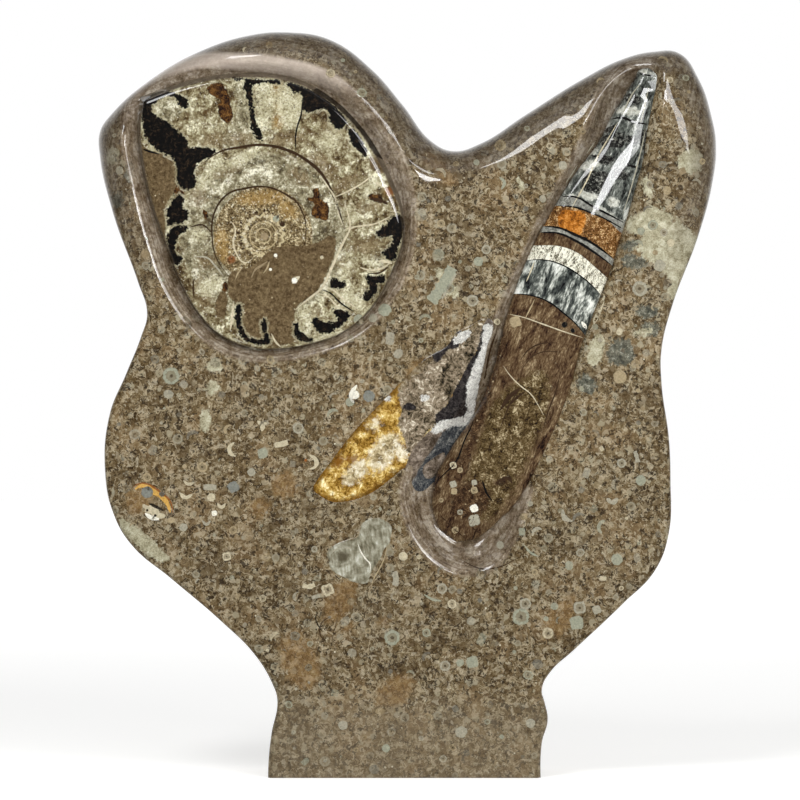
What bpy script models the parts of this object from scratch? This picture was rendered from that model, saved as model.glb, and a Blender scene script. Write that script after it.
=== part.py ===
"""Relief-carved show slab of crinoidal limestone, holding an ammonite and an orthoceras.

The stone stands upright on a sawn foot. Its front faces -Y, its width lies along X, and the
origin is the middle of the foot's underside. The fossils grew, were buried and turned to stone
in the same mud, so the slab and everything in it is one solid.

The shaping follows the carver's order: saw the outline, grind a hollow round each fossil, leave
the fossil standing in it as a dome, then saw the foot flat.
"""

import math

import bmesh
import bpy
from mathutils import Matrix, Vector

MM = 0.001                       # metres in a millimetre: every size below is in millimetres

# Driving dimensions
THICKNESS = 45.0                 # slab, front face to back face
EDGE_ROUND = 5.0                 # ground radius round the slab's edges
FOOT_CUT = 10.0                  # depth of stone sawn off under the foot
AMMONITE_HOLLOW = 7.0            # depth of the hollow round the ammonite
AMMONITE_CROWN = 0.5             # how far the ammonite stands proud of the front face
AMMONITE_SHOULDER = 5.5          # radius of the ammonite's rounded rim
SHELL_HOLLOW = 8.0               # depth of the hollow round the orthoceras
SHELL_CROWN = 0.8                # how far the orthoceras stands proud of the front face
HOLLOW_COVE = 5.5                # radius where a hollow's wall turns into its floor
ROOTED = 4.0                     # how deep the ammonite carries on below its hollow's floor
SHELL_SUNK = 1.2                 # how far the orthoceras's widest line lies below its floor
CURVE_STEPS = 3                  # straight steps between two knots of an outline
ROUND_STEPS = 2                  # extra rows in each rounded edge
SHELL_SIDES = 24                 # flats round the orthoceras

# Outlines as (x, z) knots, joined by smooth curves. "corner" marks a knot that stays sharp.
SLAB_OUTLINE = [
    (15.5, 210.0), (24.5, 212.5), (39.5, 222.0), (59.5, 234.5), (72.5, 241.0), (83.0, 243.5),
    (91.5, 243.0), (98.0, 234.5), (102.5, 221.5), (104.0, 211.5), (102.5, 199.0), (97.5, 181.5),
    (88.5, 157.5), (85.0, 143.0), (85.0, 132.0), (87.5, 113.0), (88.0, 99.5), (87.5, 82.0),
    (83.0, 69.5), (72.0, 58.0), (55.0, 42.0), (48.0, 35.5), (45.0, 29.5), (46.0, 25.0),
    (47.0, 19.5), (45.0, 11.5), (45.0, -FOOT_CUT, "corner"), (-46.5, -FOOT_CUT, "corner"),
    (-46.5, 4.5), (-45.5, 14.5), (-43.5, 26.0), (-45.0, 31.0), (-51.0, 41.0), (-62.0, 52.0),
    (-79.0, 66.5), (-92.0, 77.5), (-98.0, 87.5), (-101.0, 101.5), (-99.5, 121.5),
    (-94.0, 135.0), (-89.0, 147.5), (-87.0, 155.0), (-90.0, 165.5), (-99.0, 190.0),
    (-103.5, 208.5), (-103.5, 216.5), (-100.0, 222.0), (-85.0, 235.0), (-70.0, 243.5),
    (-53.0, 249.0), (-40.0, 250.0), (-26.0, 247.5), (-12.0, 237.5), (-1.5, 225.5), (8.5, 213.0),
]
AMMONITE_RIM = [                 # outer lip of the hollow round the ammonite
    (-91.5, 225.5), (-76.0, 236.5), (-56.5, 241.0), (-39.5, 239.5), (-26.5, 235.5),
    (-14.0, 226.0), (-5.0, 215.5), (1.5, 200.0), (3.0, 187.5), (1.0, 172.5), (-6.0, 158.0),
    (-18.0, 146.5), (-35.0, 140.5), (-48.0, 139.0), (-61.0, 141.5), (-72.5, 150.5),
    (-81.0, 163.0), (-87.0, 179.5), (-91.5, 196.5), (-95.5, 213.0),
]
AMMONITE_SHELL = [               # foot of the ammonite's dome, pointed at the shell's mouth
    (-88.0, 226.5, "corner"), (-75.5, 230.5), (-60.0, 233.5), (-39.5, 232.5), (-26.5, 226.0),
    (-18.0, 218.0), (-11.0, 208.0), (-6.5, 199.0), (-2.0, 189.0), (-2.0, 179.0),
    (-6.0, 168.0), (-12.0, 157.5), (-20.0, 150.0), (-31.0, 145.5), (-43.5, 143.5),
    (-52.5, 144.0), (-63.5, 149.0), (-70.0, 156.0), (-76.0, 167.0), (-79.5, 176.5),
    (-85.0, 192.0), (-88.0, 205.5), (-89.0, 217.0),
]
SHELL_RIM = [                    # outer lip of the hollow round the orthoceras
    (76.0, 240.0), (87.0, 239.0), (87.5, 226.5), (83.0, 203.0), (76.0, 181.5), (68.5, 163.0),
    (56.0, 132.0), (47.0, 111.0), (42.0, 96.0), (35.5, 78.5), (28.5, 69.5), (22.5, 67.5),
    (12.5, 69.5), (3.5, 77.5), (-1.5, 88.5), (-2.0, 99.5), (7.5, 113.0), (19.5, 129.5),
    (31.5, 159.5), (44.5, 188.0), (60.0, 219.0),
]

# The orthoceras, from its point down to its round end: (x, z, half width) along its middle line
SHELL_STATIONS = [
    (81.2, 237.2, 0.0), (80.8, 236.0, 2.6), (79.9, 233.0, 3.8), (74.5, 219.5, 6.3),
    (70.7, 208.0, 8.3), (64.7, 195.5, 10.9), (59.6, 184.4, 12.4), (56.0, 176.0, 13.4),
    (50.3, 162.3, 13.7), (45.6, 149.0, 13.5), (41.0, 132.0, 13.2), (34.2, 115.5, 13.2),
    (26.8, 103.0, 14.2), (20.6, 92.7, 13.0), (17.9, 84.3, 9.0), (17.0, 80.6, 5.2),
    (16.5, 78.7, 0.0),
]


def clear_scene():
    for thing in list(bpy.data.objects):
        bpy.data.objects.remove(thing, do_unlink=True)


def make_material(name, colour, roughness):
    material = bpy.data.materials.new(name)
    material.use_nodes = True
    shader = material.node_tree.nodes["Principled BSDF"]
    shader.inputs["Base Color"].default_value = (*colour, 1.0)
    shader.inputs["Roughness"].default_value = roughness
    shader.inputs["Metallic"].default_value = 0.0
    return material


def add_object(name, mesh):
    thing = bpy.data.objects.new(name, mesh)
    bpy.context.scene.collection.objects.link(thing)
    return thing


def clean_mesh(mesh):
    """Weld the seams that a filled curve or a turned profile leaves, and face it outwards."""
    shape = bmesh.new()
    shape.from_mesh(mesh)
    bmesh.ops.remove_doubles(shape, verts=shape.verts, dist=0.01 * MM)
    bmesh.ops.recalc_face_normals(shape, faces=shape.faces)
    shape.to_mesh(mesh)
    shape.free()


def upright_plate(name, knots, front, back, edge_round):
    """A plate cut to an outline in the X-Z plane, from y=front to y=back, with round edges."""
    curve = bpy.data.curves.new(name, "CURVE")
    curve.dimensions = "2D"
    curve.fill_mode = "BOTH"
    curve.resolution_u = CURVE_STEPS
    curve.extrude = ((back - front) / 2 - edge_round) * MM
    curve.bevel_depth = edge_round * MM
    curve.bevel_resolution = ROUND_STEPS
    curve.offset = -edge_round * MM
    spline = curve.splines.new("BEZIER")
    spline.bezier_points.add(len(knots) - 1)
    spline.use_cyclic_u = True
    for point, knot in zip(spline.bezier_points, knots):
        point.co = (knot[0] * MM, knot[1] * MM, 0.0)
        handle = "VECTOR" if "corner" in knot else "AUTO"
        point.handle_left_type = handle
        point.handle_right_type = handle
    plate = add_object(name, curve)
    bpy.context.view_layer.update()
    shaped = plate.evaluated_get(bpy.context.evaluated_depsgraph_get())
    mesh = bpy.data.meshes.new_from_object(shaped)
    bpy.data.objects.remove(plate, do_unlink=True)
    stand_up = Matrix.Rotation(math.radians(90), 4, "X")
    mesh.transform(Matrix.Translation((0.0, (front + back) / 2 * MM, 0.0)) @ stand_up)
    clean_mesh(mesh)
    return add_object(name, mesh)


def lofted_shell(name, middle_y, crest_y):
    """The orthoceras: an oval section swept down its stations, flattened front to back."""
    widest = max(half_width for x, z, half_width in SHELL_STATIONS)
    flattening = (middle_y - crest_y) / widest
    shape = bmesh.new()
    rings = []
    for index, (x, z, half_width) in enumerate(SHELL_STATIONS):
        centre = Vector((x, middle_y, z))
        if half_width == 0.0:
            rings.append([shape.verts.new(centre * MM)])
            continue
        before = SHELL_STATIONS[index - 1]
        after = SHELL_STATIONS[index + 1]
        along = Vector((after[0] - before[0], 0.0, after[1] - before[1])).normalized()
        across = Vector((along.z, 0.0, -along.x))
        depth = Vector((0.0, flattening, 0.0))
        ring = []
        for side in range(SHELL_SIDES):
            angle = math.tau * side / SHELL_SIDES
            spoke = across * math.cos(angle) + depth * math.sin(angle)
            ring.append(shape.verts.new((centre + half_width * spoke) * MM))
        rings.append(ring)
    for upper, lower in zip(rings, rings[1:]):
        for side in range(SHELL_SIDES):
            beside = (side + 1) % SHELL_SIDES
            corners = [upper[side % len(upper)], upper[beside % len(upper)],
                       lower[beside % len(lower)], lower[side % len(lower)]]
            shape.faces.new(list(dict.fromkeys(corners)))
    mesh = bpy.data.meshes.new(name)
    shape.to_mesh(mesh)
    shape.free()
    clean_mesh(mesh)
    return add_object(name, mesh)


def saw_block(name):
    """A box under the ground plane, which takes off the bottom of the foot."""
    shape = bmesh.new()
    bmesh.ops.create_cube(shape, size=1.0)
    side = 4 * THICKNESS * MM
    height = 2 * FOOT_CUT * MM
    shape.transform(Matrix.Diagonal((side, side, height, 1)))
    shape.transform(Matrix.Translation((0, 0, -height / 2)))
    mesh = bpy.data.meshes.new(name)
    shape.to_mesh(mesh)
    shape.free()
    return add_object(name, mesh)


def carve(stone, tool, operation):
    """Cut a tool's shape out of the stone, or join it on. The tool stays as a hidden guide."""
    tool.hide_render = True
    tool.display_type = "WIRE"
    step = stone.modifiers.new(tool.name, "BOOLEAN")
    step.operation = operation
    step.solver = "EXACT"
    step.object = tool


def build_stone():
    front = -THICKNESS / 2
    outside = front - 10.0
    stone = upright_plate("fossil_stone", SLAB_OUTLINE, front, -front, EDGE_ROUND)
    ammonite_floor = front + AMMONITE_HOLLOW
    shell_floor = front + SHELL_HOLLOW
    carve(stone, upright_plate("ammonite_hollow", AMMONITE_RIM, outside, ammonite_floor,
                               HOLLOW_COVE), "DIFFERENCE")
    carve(stone, upright_plate("shell_hollow", SHELL_RIM, outside, shell_floor,
                               HOLLOW_COVE), "DIFFERENCE")
    carve(stone, upright_plate("ammonite_dome", AMMONITE_SHELL, front - AMMONITE_CROWN,
                               ammonite_floor + ROOTED, AMMONITE_SHOULDER), "UNION")
    carve(stone, lofted_shell("orthoceras_body", shell_floor + SHELL_SUNK,
                              front - SHELL_CROWN), "UNION")
    carve(stone, saw_block("foot_saw"), "DIFFERENCE")
    return stone


clear_scene()
fossil_stone = build_stone()
fossil_stone.data.materials.append(make_material("polished_limestone", (0.23, 0.185, 0.135), 0.22))
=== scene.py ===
# %% [markdown]
# # A carved and polished fossil slab
# The real object is one piece of stone. Mud full of broken sea-lily stems buried a coiled
# ammonite and a long straight orthoceras, and all of it turned to limestone together. A carver
# sawed the outline, ground a hollow round the two big fossils so that they stand up in relief,
# and polished the lot. This lesson rebuilds it: first the frame it has to fit, then camera and
# light, then the relief, and last the stone itself, fossil by fossil.

# %% the fixed frame
import math

import bmesh
import bpy
import numpy as np
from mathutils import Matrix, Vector
from mathutils.geometry import delaunay_2d_cdt


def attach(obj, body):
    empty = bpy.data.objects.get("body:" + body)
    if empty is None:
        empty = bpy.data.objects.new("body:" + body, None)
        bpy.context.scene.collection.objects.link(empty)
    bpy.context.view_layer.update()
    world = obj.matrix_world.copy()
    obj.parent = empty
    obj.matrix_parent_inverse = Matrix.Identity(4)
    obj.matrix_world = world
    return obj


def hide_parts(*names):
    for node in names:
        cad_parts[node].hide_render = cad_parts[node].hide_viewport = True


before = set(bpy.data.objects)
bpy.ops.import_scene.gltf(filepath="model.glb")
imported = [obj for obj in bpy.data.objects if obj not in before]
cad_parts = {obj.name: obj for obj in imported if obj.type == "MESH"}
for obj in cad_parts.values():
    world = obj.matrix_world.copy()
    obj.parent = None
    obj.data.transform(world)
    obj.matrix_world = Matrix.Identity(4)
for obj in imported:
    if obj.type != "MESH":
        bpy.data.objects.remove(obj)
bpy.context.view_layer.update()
MM = 0.001                      # every size below is in millimetres until it becomes a mesh

# %% [markdown]
# ## The camera
# The slab is looked at square on, from the height of its own middle. A very long lens from
# further off keeps its sides out of sight and its outline true.

# %% camera
LENS = 200.0                    # focal length on Blender's 36 mm wide sensor
SENSOR = 36.0
VIEW_WIDTH = 267.8              # width of the square picture, measured just behind the face
FACE_Y = -21.0                  # the plane of the flat front face
AIM = Vector((-2.45, FACE_Y + 5.0, 126.2))

camera_data = bpy.data.cameras.new("camera")
camera_data.lens = LENS
camera_data.sensor_width = SENSOR
camera = bpy.data.objects.new("camera", camera_data)
bpy.context.scene.collection.objects.link(camera)
camera_distance = VIEW_WIDTH * LENS / SENSOR
camera.location = (AIM + Vector((0, -camera_distance, 0))) * MM
camera.rotation_euler = (math.radians(90), 0, 0)
bpy.context.scene.camera = camera
print("camera stands", round(camera_distance), "mm in front of the slab")

# %% [markdown]
# ## Light
# A polished stone shows its shape by what it mirrors. Soft light from all round would fill its
# blacks with grey, so the side of the room that the face looks at stays dim and the backdrop
# behind the slab is bright. Four soft boxes do the rest. A window on the right makes the wedge
# of glare on the orthoceras, a taller one beside it runs down the lips, one high on the left
# picks out the shoulders of the lobes, and a wide dim one overhead stands for the ceiling.

# %% lights
STAND = Vector((0, 0, 150))     # what the lamps are pointed at


def soft_box(name, right, up, distance, size, power):
    """An area light seen from the slab at so many degrees right of and above the camera."""
    azimuth, elevation = math.radians(right), math.radians(up)
    away = Vector((math.sin(azimuth) * math.cos(elevation),
                   -math.cos(azimuth) * math.cos(elevation), math.sin(elevation)))
    light = bpy.data.lights.new(name, "AREA")
    light.shape = "RECTANGLE"
    light.size, light.size_y = (side * MM for side in size)
    light.energy = power
    box = bpy.data.objects.new(name, light)
    bpy.context.scene.collection.objects.link(box)
    box.location = (STAND + away * distance) * MM
    box.rotation_euler = away.to_track_quat("Z", "Y").to_euler()
    return box


soft_box("window_right", right=14, up=10.5, distance=1100, size=(250, 98), power=1.4)
soft_box("tall_right", right=28, up=19, distance=1100, size=(380, 420), power=4.3)
soft_box("high_left", right=-24, up=39, distance=1150, size=(280, 420), power=4.4)
soft_box("sky", right=0, up=66, distance=1150, size=(1500, 600), power=1.4)

# %% [markdown]
# The world's colour changes smoothly from the dim room in front of the slab to a white
# backdrop behind it.

# %% room and backdrop
ROOM = 0.07
BACKDROP = 1.0

world = bpy.data.worlds.new("room")
world.use_nodes = True
room = world.node_tree
direction = room.nodes.new("ShaderNodeTexCoord")
split = room.nodes.new("ShaderNodeSeparateXYZ")
turn = room.nodes.new("ShaderNodeMapRange")
turn.interpolation_type = "SMOOTHSTEP"
turn.inputs["From Min"].default_value = 0.3
turn.inputs["From Max"].default_value = 0.95
turn.inputs["To Min"].default_value = ROOM
turn.inputs["To Max"].default_value = BACKDROP
room.links.new(direction.outputs["Generated"], split.inputs["Vector"])
room.links.new(split.outputs["Y"], turn.inputs["Value"])
room.links.new(turn.outputs["Result"], room.nodes["Background"].inputs["Color"])
bpy.context.scene.world = world
bpy.context.scene.view_settings.view_transform = "Standard"
print("room", ROOM, "and backdrop", BACKDROP)

# %% [markdown]
# ## Mixing finishes
# A finish is a net of shader nodes. Wiring each by hand is slow to write and hard to read, so a
# small helper adds nodes as calls: what a node gives out can be added, multiplied and compared
# like a number. Every finish here has a clear coat, because polished stone is a rough
# colour under a surface as smooth as glass.

# %% the finish helper
POLISH = 0.035                  # roughness of the coat: nearly a mirror
UNDER_POLISH = 0.04             # the gloss of the stone beneath it, close to none


def chart(red, green, blue):
    """A colour read off a paint chart, 0 to 255, made linear for the shader."""
    return tuple(((v / 255 + 0.055) / 1.055) ** 2.4 for v in (red, green, blue)) + (1.0,)


class Flow:
    """What one node gives out."""

    def __init__(self, finish, socket):
        self.finish, self.socket = finish, socket

    def __add__(self, other):
        return self.finish.math("ADD", self, other)

    def __sub__(self, other):
        return self.finish.math("SUBTRACT", self, other)

    def __mul__(self, other):
        return self.finish.math("MULTIPLY", self, other)

    def __rsub__(self, other):
        return self.finish.math("SUBTRACT", other, self)

    __radd__, __rmul__ = __add__, __mul__


class Finish:
    """One material, built node by node."""

    def __init__(self, name, roughness=0.5, coat=1.0):
        self.material = bpy.data.materials.new(name)
        self.material.use_nodes = True
        self.tree = self.material.node_tree
        self.shader = self.tree.nodes["Principled BSDF"]
        self.shader.inputs["Roughness"].default_value = roughness
        self.shader.inputs["Coat Weight"].default_value = coat
        self.shader.inputs["Coat Roughness"].default_value = POLISH
        self.shader.inputs["Specular IOR Level"].default_value = UNDER_POLISH

    def feed(self, socket, value):
        if isinstance(value, Flow):
            self.tree.links.new(value.socket, socket)
        else:
            socket.default_value = value

    def add(self, kind, inputs, **settings):
        node = self.tree.nodes.new("ShaderNode" + kind)
        for name, value in settings.items():
            setattr(node, name, value)
        for name, value in inputs.items():
            self.feed(node.inputs[name], value)
        return node

    def out(self, node, name):
        return Flow(self, node.outputs[name])

    def math(self, operation, first, second=0.0):
        return self.out(self.add("Math", {0: first, 1: second}, operation=operation), 0)

    def place(self):
        """Where a point of the surface is, in millimetres."""
        metres = self.out(self.add("TexCoord", {}), "Object")
        node = self.add("VectorMath", {0: metres, "Scale": 1 / MM}, operation="SCALE")
        return self.out(node, 0)

    def parts(self, place):
        node = self.add("SeparateXYZ", {0: place})
        return [self.out(node, axis) for axis in range(3)]

    def joined(self, x, y, z):
        return self.out(self.add("CombineXYZ", {0: x, 1: y, 2: z}), 0)

    def shifted(self, place, by):
        return self.out(self.add("VectorMath", {0: place, 1: by}, operation="ADD"), 0)

    def stretched(self, place, by):
        return self.out(self.add("VectorMath", {0: place, 1: by}, operation="MULTIPLY"), 0)

    def grown(self, name):
        """A value stored on the mesh's points."""
        return self.out(self.add("Attribute", {}, attribute_name=name), "Fac")

    def noise(self, place, size, detail=2.0, roughness=0.5, warp=0.0):
        inputs = {"Vector": place, "Scale": 1 / size, "Detail": detail,
                  "Roughness": roughness, "Distortion": warp}
        return self.out(self.add("TexNoise", inputs), 0)

    def cells(self, place, size, metric="EUCLIDEAN", feature="F1"):
        """Distance to the nearest cell centre in cell sizes, and three random numbers."""
        inputs = {"Vector": place, "Scale": 1 / size}
        node = self.add("TexVoronoi", inputs, distance=metric, feature=feature)
        if feature == "DISTANCE_TO_EDGE":
            return self.out(node, 0)
        return self.out(node, "Distance"), self.parts(self.out(node, "Color"))

    def ramp(self, value, low, high):
        """0 at low, 1 at high, smooth between; low may be the larger."""
        inputs = {"Value": value, "From Min": low, "From Max": high}
        return self.out(self.add("MapRange", inputs, interpolation_type="SMOOTHSTEP"), 0)

    def mix(self, first, second, amount):
        inputs = {0: amount, 6: first, 7: second}
        return self.out(self.add("Mix", inputs, data_type="RGBA"), 2)

    def shades(self, value, stops, stepped=False):
        """A colour for each value, blended between (value, colour) stops or held from each."""
        node = self.add("ValToRGB", {0: value})
        ramp = node.color_ramp
        ramp.interpolation = "CONSTANT" if stepped else "LINEAR"
        while len(ramp.elements) < len(stops):
            ramp.elements.new(0.5)
        for element, (position, colour) in zip(ramp.elements, stops):
            element.position = position
            element.color = colour
        return self.out(node, 0)

    def shaded(self, colour, amount):
        """A colour made lighter or darker by a factor."""
        node = self.add("VectorMath", {0: colour, "Scale": amount}, operation="SCALE")
        return self.out(node, 0)

    def warped(self, place, size, amount):
        """The place pushed about by up to half the amount, so that what is drawn there frays."""
        push = self.out(self.add("TexNoise", {"Vector": place, "Scale": 1 / size}), "Color")
        push = self.shifted(push, (-0.5, -0.5, -0.5))
        return self.shifted(place, self.stretched(push, (amount, amount, amount)))

    def mottle(self, place, size, colours, grain=0.4, spread=0.14):
        """Blotches with grains in them, shaded from the first colour to the last."""
        blotches = self.noise(place, size, detail=4.0, roughness=0.62, warp=0.5)
        grains = self.noise(place, size * 0.2, detail=2.0, roughness=0.7)
        tone = blotches * (1 - grain) + grains * grain
        steps = np.linspace(0.5 - spread, 0.5 + spread, len(colours))
        return self.shades(tone, [(s, chart(*c)) for s, c in zip(steps, colours)])

    def edged(self, name, fray, soft=0.15):
        """0 outside a drawn mark and 1 inside it, with an edge frayed by the given amount."""
        return self.ramp(self.grown(name) + fray, -soft, soft)

    def mark(self, below, name, colour, fray, soft=0.15, strength=1.0):
        """Lays a colour over what is below it inside a drawn mark."""
        return self.mix(below, colour, self.edged(name, fray, soft) * strength)

    def finish(self, colour, roughness=None, height=None, depth=0.05):
        self.feed(self.shader.inputs["Base Color"], colour)
        if roughness is not None:
            self.feed(self.shader.inputs["Roughness"], roughness)
        if height is not None:
            inputs = {"Height": height, "Distance": depth * MM, "Strength": 1.0}
            self.feed(self.shader.inputs["Normal"], self.out(self.add("Bump", inputs), 0))
        return self.material


print("finish helper ready:", len([n for n in vars(Finish) if not n.startswith("_")]), "calls")

# %% [markdown]
# ## The floor
# The slab stands on a plain pale table that runs on into the white backdrop. A big sheet lit
# only by the lamps would grow darker towards the back, so its finish glows a little, and more
# the further away it lies. This first finish also shows how the helper is used.

# %% pale floor
FLOOR_GLOW = 0.90               # lifts the far floor to the backdrop's white
FLOOR_REACH = 4.0               # metres from the slab to the floor's edge, each way


def pale_floor():
    floor_finish = Finish("pale_floor", roughness=0.75, coat=0.0)
    place = floor_finish.place()
    _, away, _ = floor_finish.parts(place)
    distance = floor_finish.ramp(away, 100.0, 1500.0)
    glow = floor_finish.mix(chart(206, 206, 206), chart(255, 255, 255), distance)
    floor_finish.feed(floor_finish.shader.inputs["Emission Color"], glow)
    floor_finish.shader.inputs["Emission Strength"].default_value = FLOOR_GLOW
    grain = floor_finish.noise(place, 3.0)
    colour = floor_finish.mix(chart(238, 238, 236), chart(245, 245, 243), grain)
    mesh = bpy.data.meshes.new("floor")
    near, far = -FLOOR_REACH, FLOOR_REACH
    corners = [(near, near, 0), (far, near, 0), (far, far, 0), (near, far, 0)]
    mesh.from_pydata(corners, [], [(0, 1, 2, 3)])
    mesh.materials.append(floor_finish.finish(colour))
    floor = bpy.data.objects.new("floor", mesh)
    bpy.context.scene.collection.objects.link(floor)
    floor.visible_glossy = False    # or the polished foot would mirror a white band
    return floor


print("floor reaches", max(pale_floor().dimensions) / 2, "m")

# %% [markdown]
# ## Outlines
# The carver draws lines on the slab before grinding: the slab's own outline, the lip of each
# hollow, and the foot of each fossil. Each line here is a handful of knots with a smooth Bezier
# curve through them, because stone ground by hand has no straight lines or true circles.

# %% outlines of the slab and its hollows
CORNER = "corner"               # a knot where the line turns sharply
FOOT_CUT = 10.0                 # the outline runs on below the saw cut by this much

SLAB_OUTLINE = [
    (15.5, 210.0), (24.5, 212.5), (39.5, 222.0), (59.5, 234.5), (72.5, 241.0), (83.0, 243.5),
    (91.5, 243.0), (98.0, 234.5), (102.5, 221.5), (104.0, 211.5), (102.5, 199.0), (97.5, 181.5),
    (88.5, 157.5), (85.0, 143.0), (85.0, 132.0), (87.5, 113.0), (88.0, 99.5), (87.5, 82.0),
    (83.0, 69.5), (72.0, 58.0), (55.0, 42.0), (48.0, 35.5), (45.0, 29.5), (46.0, 25.0),
    (47.0, 19.5), (45.0, 11.5), (45.0, -FOOT_CUT, CORNER), (-46.5, -FOOT_CUT, CORNER),
    (-46.5, 4.5), (-45.5, 14.5), (-43.5, 26.0), (-45.0, 31.0), (-51.0, 41.0), (-62.0, 52.0),
    (-79.0, 66.5), (-92.0, 77.5), (-98.0, 87.5), (-101.0, 101.5), (-99.5, 121.5),
    (-94.0, 135.0), (-89.0, 147.5), (-87.0, 155.0), (-90.0, 165.5), (-99.0, 190.0),
    (-103.5, 208.5), (-103.5, 216.5), (-100.0, 222.0), (-85.0, 235.0), (-70.0, 243.5),
    (-53.0, 249.0), (-40.0, 250.0), (-26.0, 247.5), (-12.0, 237.5), (-1.5, 225.5), (8.5, 213.0),
]
AMMONITE_LIP = [                # crest of the lip round the ammonite's hollow
    (-93.5, 231.0), (-75.5, 241.0), (-56.5, 241.5), (-39.5, 239.5), (-26.5, 235.5),
    (-14.0, 226.0), (-5.0, 215.5), (1.5, 200.0), (3.0, 187.5), (1.0, 172.5), (-6.0, 158.0),
    (-18.0, 146.5), (-35.0, 140.5), (-48.0, 139.0), (-60.5, 141.5), (-72.5, 150.5),
    (-81.0, 163.0), (-87.0, 179.5), (-91.5, 196.5), (-95.5, 213.0),
]
AMMONITE_EDGE = [               # shoulder line of the ammonite's dome
    (-88.0, 226.0, CORNER), (-75.5, 230.5), (-60.0, 233.5), (-39.5, 232.5), (-26.5, 226.0),
    (-18.0, 218.0), (-11.0, 208.0), (-6.5, 199.0), (-2.5, 189.0), (-2.0, 179.0),
    (-6.0, 168.0), (-12.0, 157.5), (-20.0, 150.0), (-31.0, 145.5), (-43.5, 143.5),
    (-52.5, 144.0), (-63.5, 149.0), (-70.0, 156.0), (-76.0, 167.0), (-79.5, 176.5),
    (-85.0, 192.0), (-88.0, 205.5), (-89.0, 217.0),
]
SHELL_LIP = [                   # crest of the lip round the orthoceras's hollow
    (71.0, 240.0), (79.0, 242.0), (85.0, 239.5), (84.5, 226.5), (80.5, 203.0), (74.5, 181.5),
    (67.5, 163.0), (60.5, 144.5), (56.0, 132.0), (47.0, 111.0), (42.0, 96.0), (35.5, 78.5),
    (28.5, 69.5), (22.5, 67.5), (12.5, 69.5), (3.5, 77.5), (-1.5, 88.5), (-2.0, 99.5),
    (7.5, 113.0), (19.5, 129.5), (27.5, 149.5), (31.5, 159.5), (44.5, 188.0), (56.0, 210.0),
]


def smooth_line(knots, spacing, closed=True):
    """Evenly spaced points (x, z) along a Bezier curve through the knots."""
    curve = bpy.data.curves.new("line", "CURVE")
    curve.dimensions = "2D"
    curve.fill_mode = "NONE"
    curve.resolution_u = 16
    spline = curve.splines.new("BEZIER")
    spline.bezier_points.add(len(knots) - 1)
    spline.use_cyclic_u = closed
    for point, knot in zip(spline.bezier_points, knots):
        point.co = (knot[0], knot[1], 0.0)
        handle = "VECTOR" if CORNER in knot else "AUTO"
        point.handle_left_type = point.handle_right_type = handle
    guide = bpy.data.objects.new("line", curve)
    mesh = guide.to_mesh()
    line = np.array([vertex.co[:2] for vertex in mesh.vertices])
    bpy.data.objects.remove(guide)
    bpy.data.curves.remove(curve)
    if closed:
        line = np.vstack([line, line[:1]])
    travelled = np.concatenate([[0], np.cumsum(np.linalg.norm(np.diff(line, axis=0), axis=1))])
    count = max(round(travelled[-1] / spacing), 3)
    stops = np.linspace(0, travelled[-1], count + (not closed), endpoint=not closed)
    return np.column_stack([np.interp(stops, travelled, line[:, axis]) for axis in (0, 1)])


OUTLINE_STEP = 1.1              # distance between points along the slab's outline
LEAST, MOST = (-103.96, -20.0), (103.98, 250.06)        # just inside the CAD's box
slab_line = smooth_line(SLAB_OUTLINE, OUTLINE_STEP).clip(LEAST, MOST)
ammonite_lip = smooth_line(AMMONITE_LIP, 1.5)
ammonite_edge = smooth_line(AMMONITE_EDGE, 1.0)
shell_lip = smooth_line(SHELL_LIP, 1.5)
print("slab outline has", len(slab_line), "points")

# %% [markdown]
# ## How far inside a line?
# Every rounded edge, cove and lip is a function of the distance to one of these lines, so one
# helper measures it for many points at once: positive inside, negative outside.

# %% distance to a closed line
AT_ONCE = 4000                  # points measured together, so that memory stays small


def inside_distance(points, line):
    """How far each point lies inside a closed line, and minus how far outside."""
    start, step = line, np.roll(line, -1, axis=0) - line
    length_squared = np.maximum((step ** 2).sum(axis=1), 1e-12)
    result = np.empty(len(points))
    for first in range(0, len(points), AT_ONCE):
        some = points[first:first + AT_ONCE]
        offset = some[:, None, :] - start[None]
        along = np.clip((offset * step).sum(axis=2) / length_squared, 0, 1)
        gap = np.linalg.norm(offset - along[..., None] * step, axis=2).min(axis=1)
        above = some[:, None, 1] < start[None, :, 1]
        crosses = above != np.roll(above, -1, axis=1)
        safe_rise = np.where(step[:, 1] == 0, 1, step[:, 1])
        crossing_x = start[:, 0] + offset[..., 1] * step[:, 0] / safe_rise
        hits = (crosses & (some[:, None, 0] < crossing_x)).sum(axis=1)
        result[first:first + AT_ONCE] = np.where(hits % 2 == 1, gap, -gap)
    return result


def blend(low, high, value):
    """0 below low, 1 above high, and a smooth ramp between them."""
    t = np.clip((value - low) / (high - low), 0, 1)
    return t * t * (3 - 2 * t)


foot_middle = np.array([[0.0, 20.0]])
print("the foot's middle lies", inside_distance(foot_middle, slab_line).round(1), "mm inside")

# %% [markdown]
# ## The orthoceras's middle line
# The straight shell is described as a ship's hull is: stations along its length, each with its
# half width and how high its crest stands. Everything about the shell is measured in two
# numbers, how far along it lies and how far across.

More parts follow.
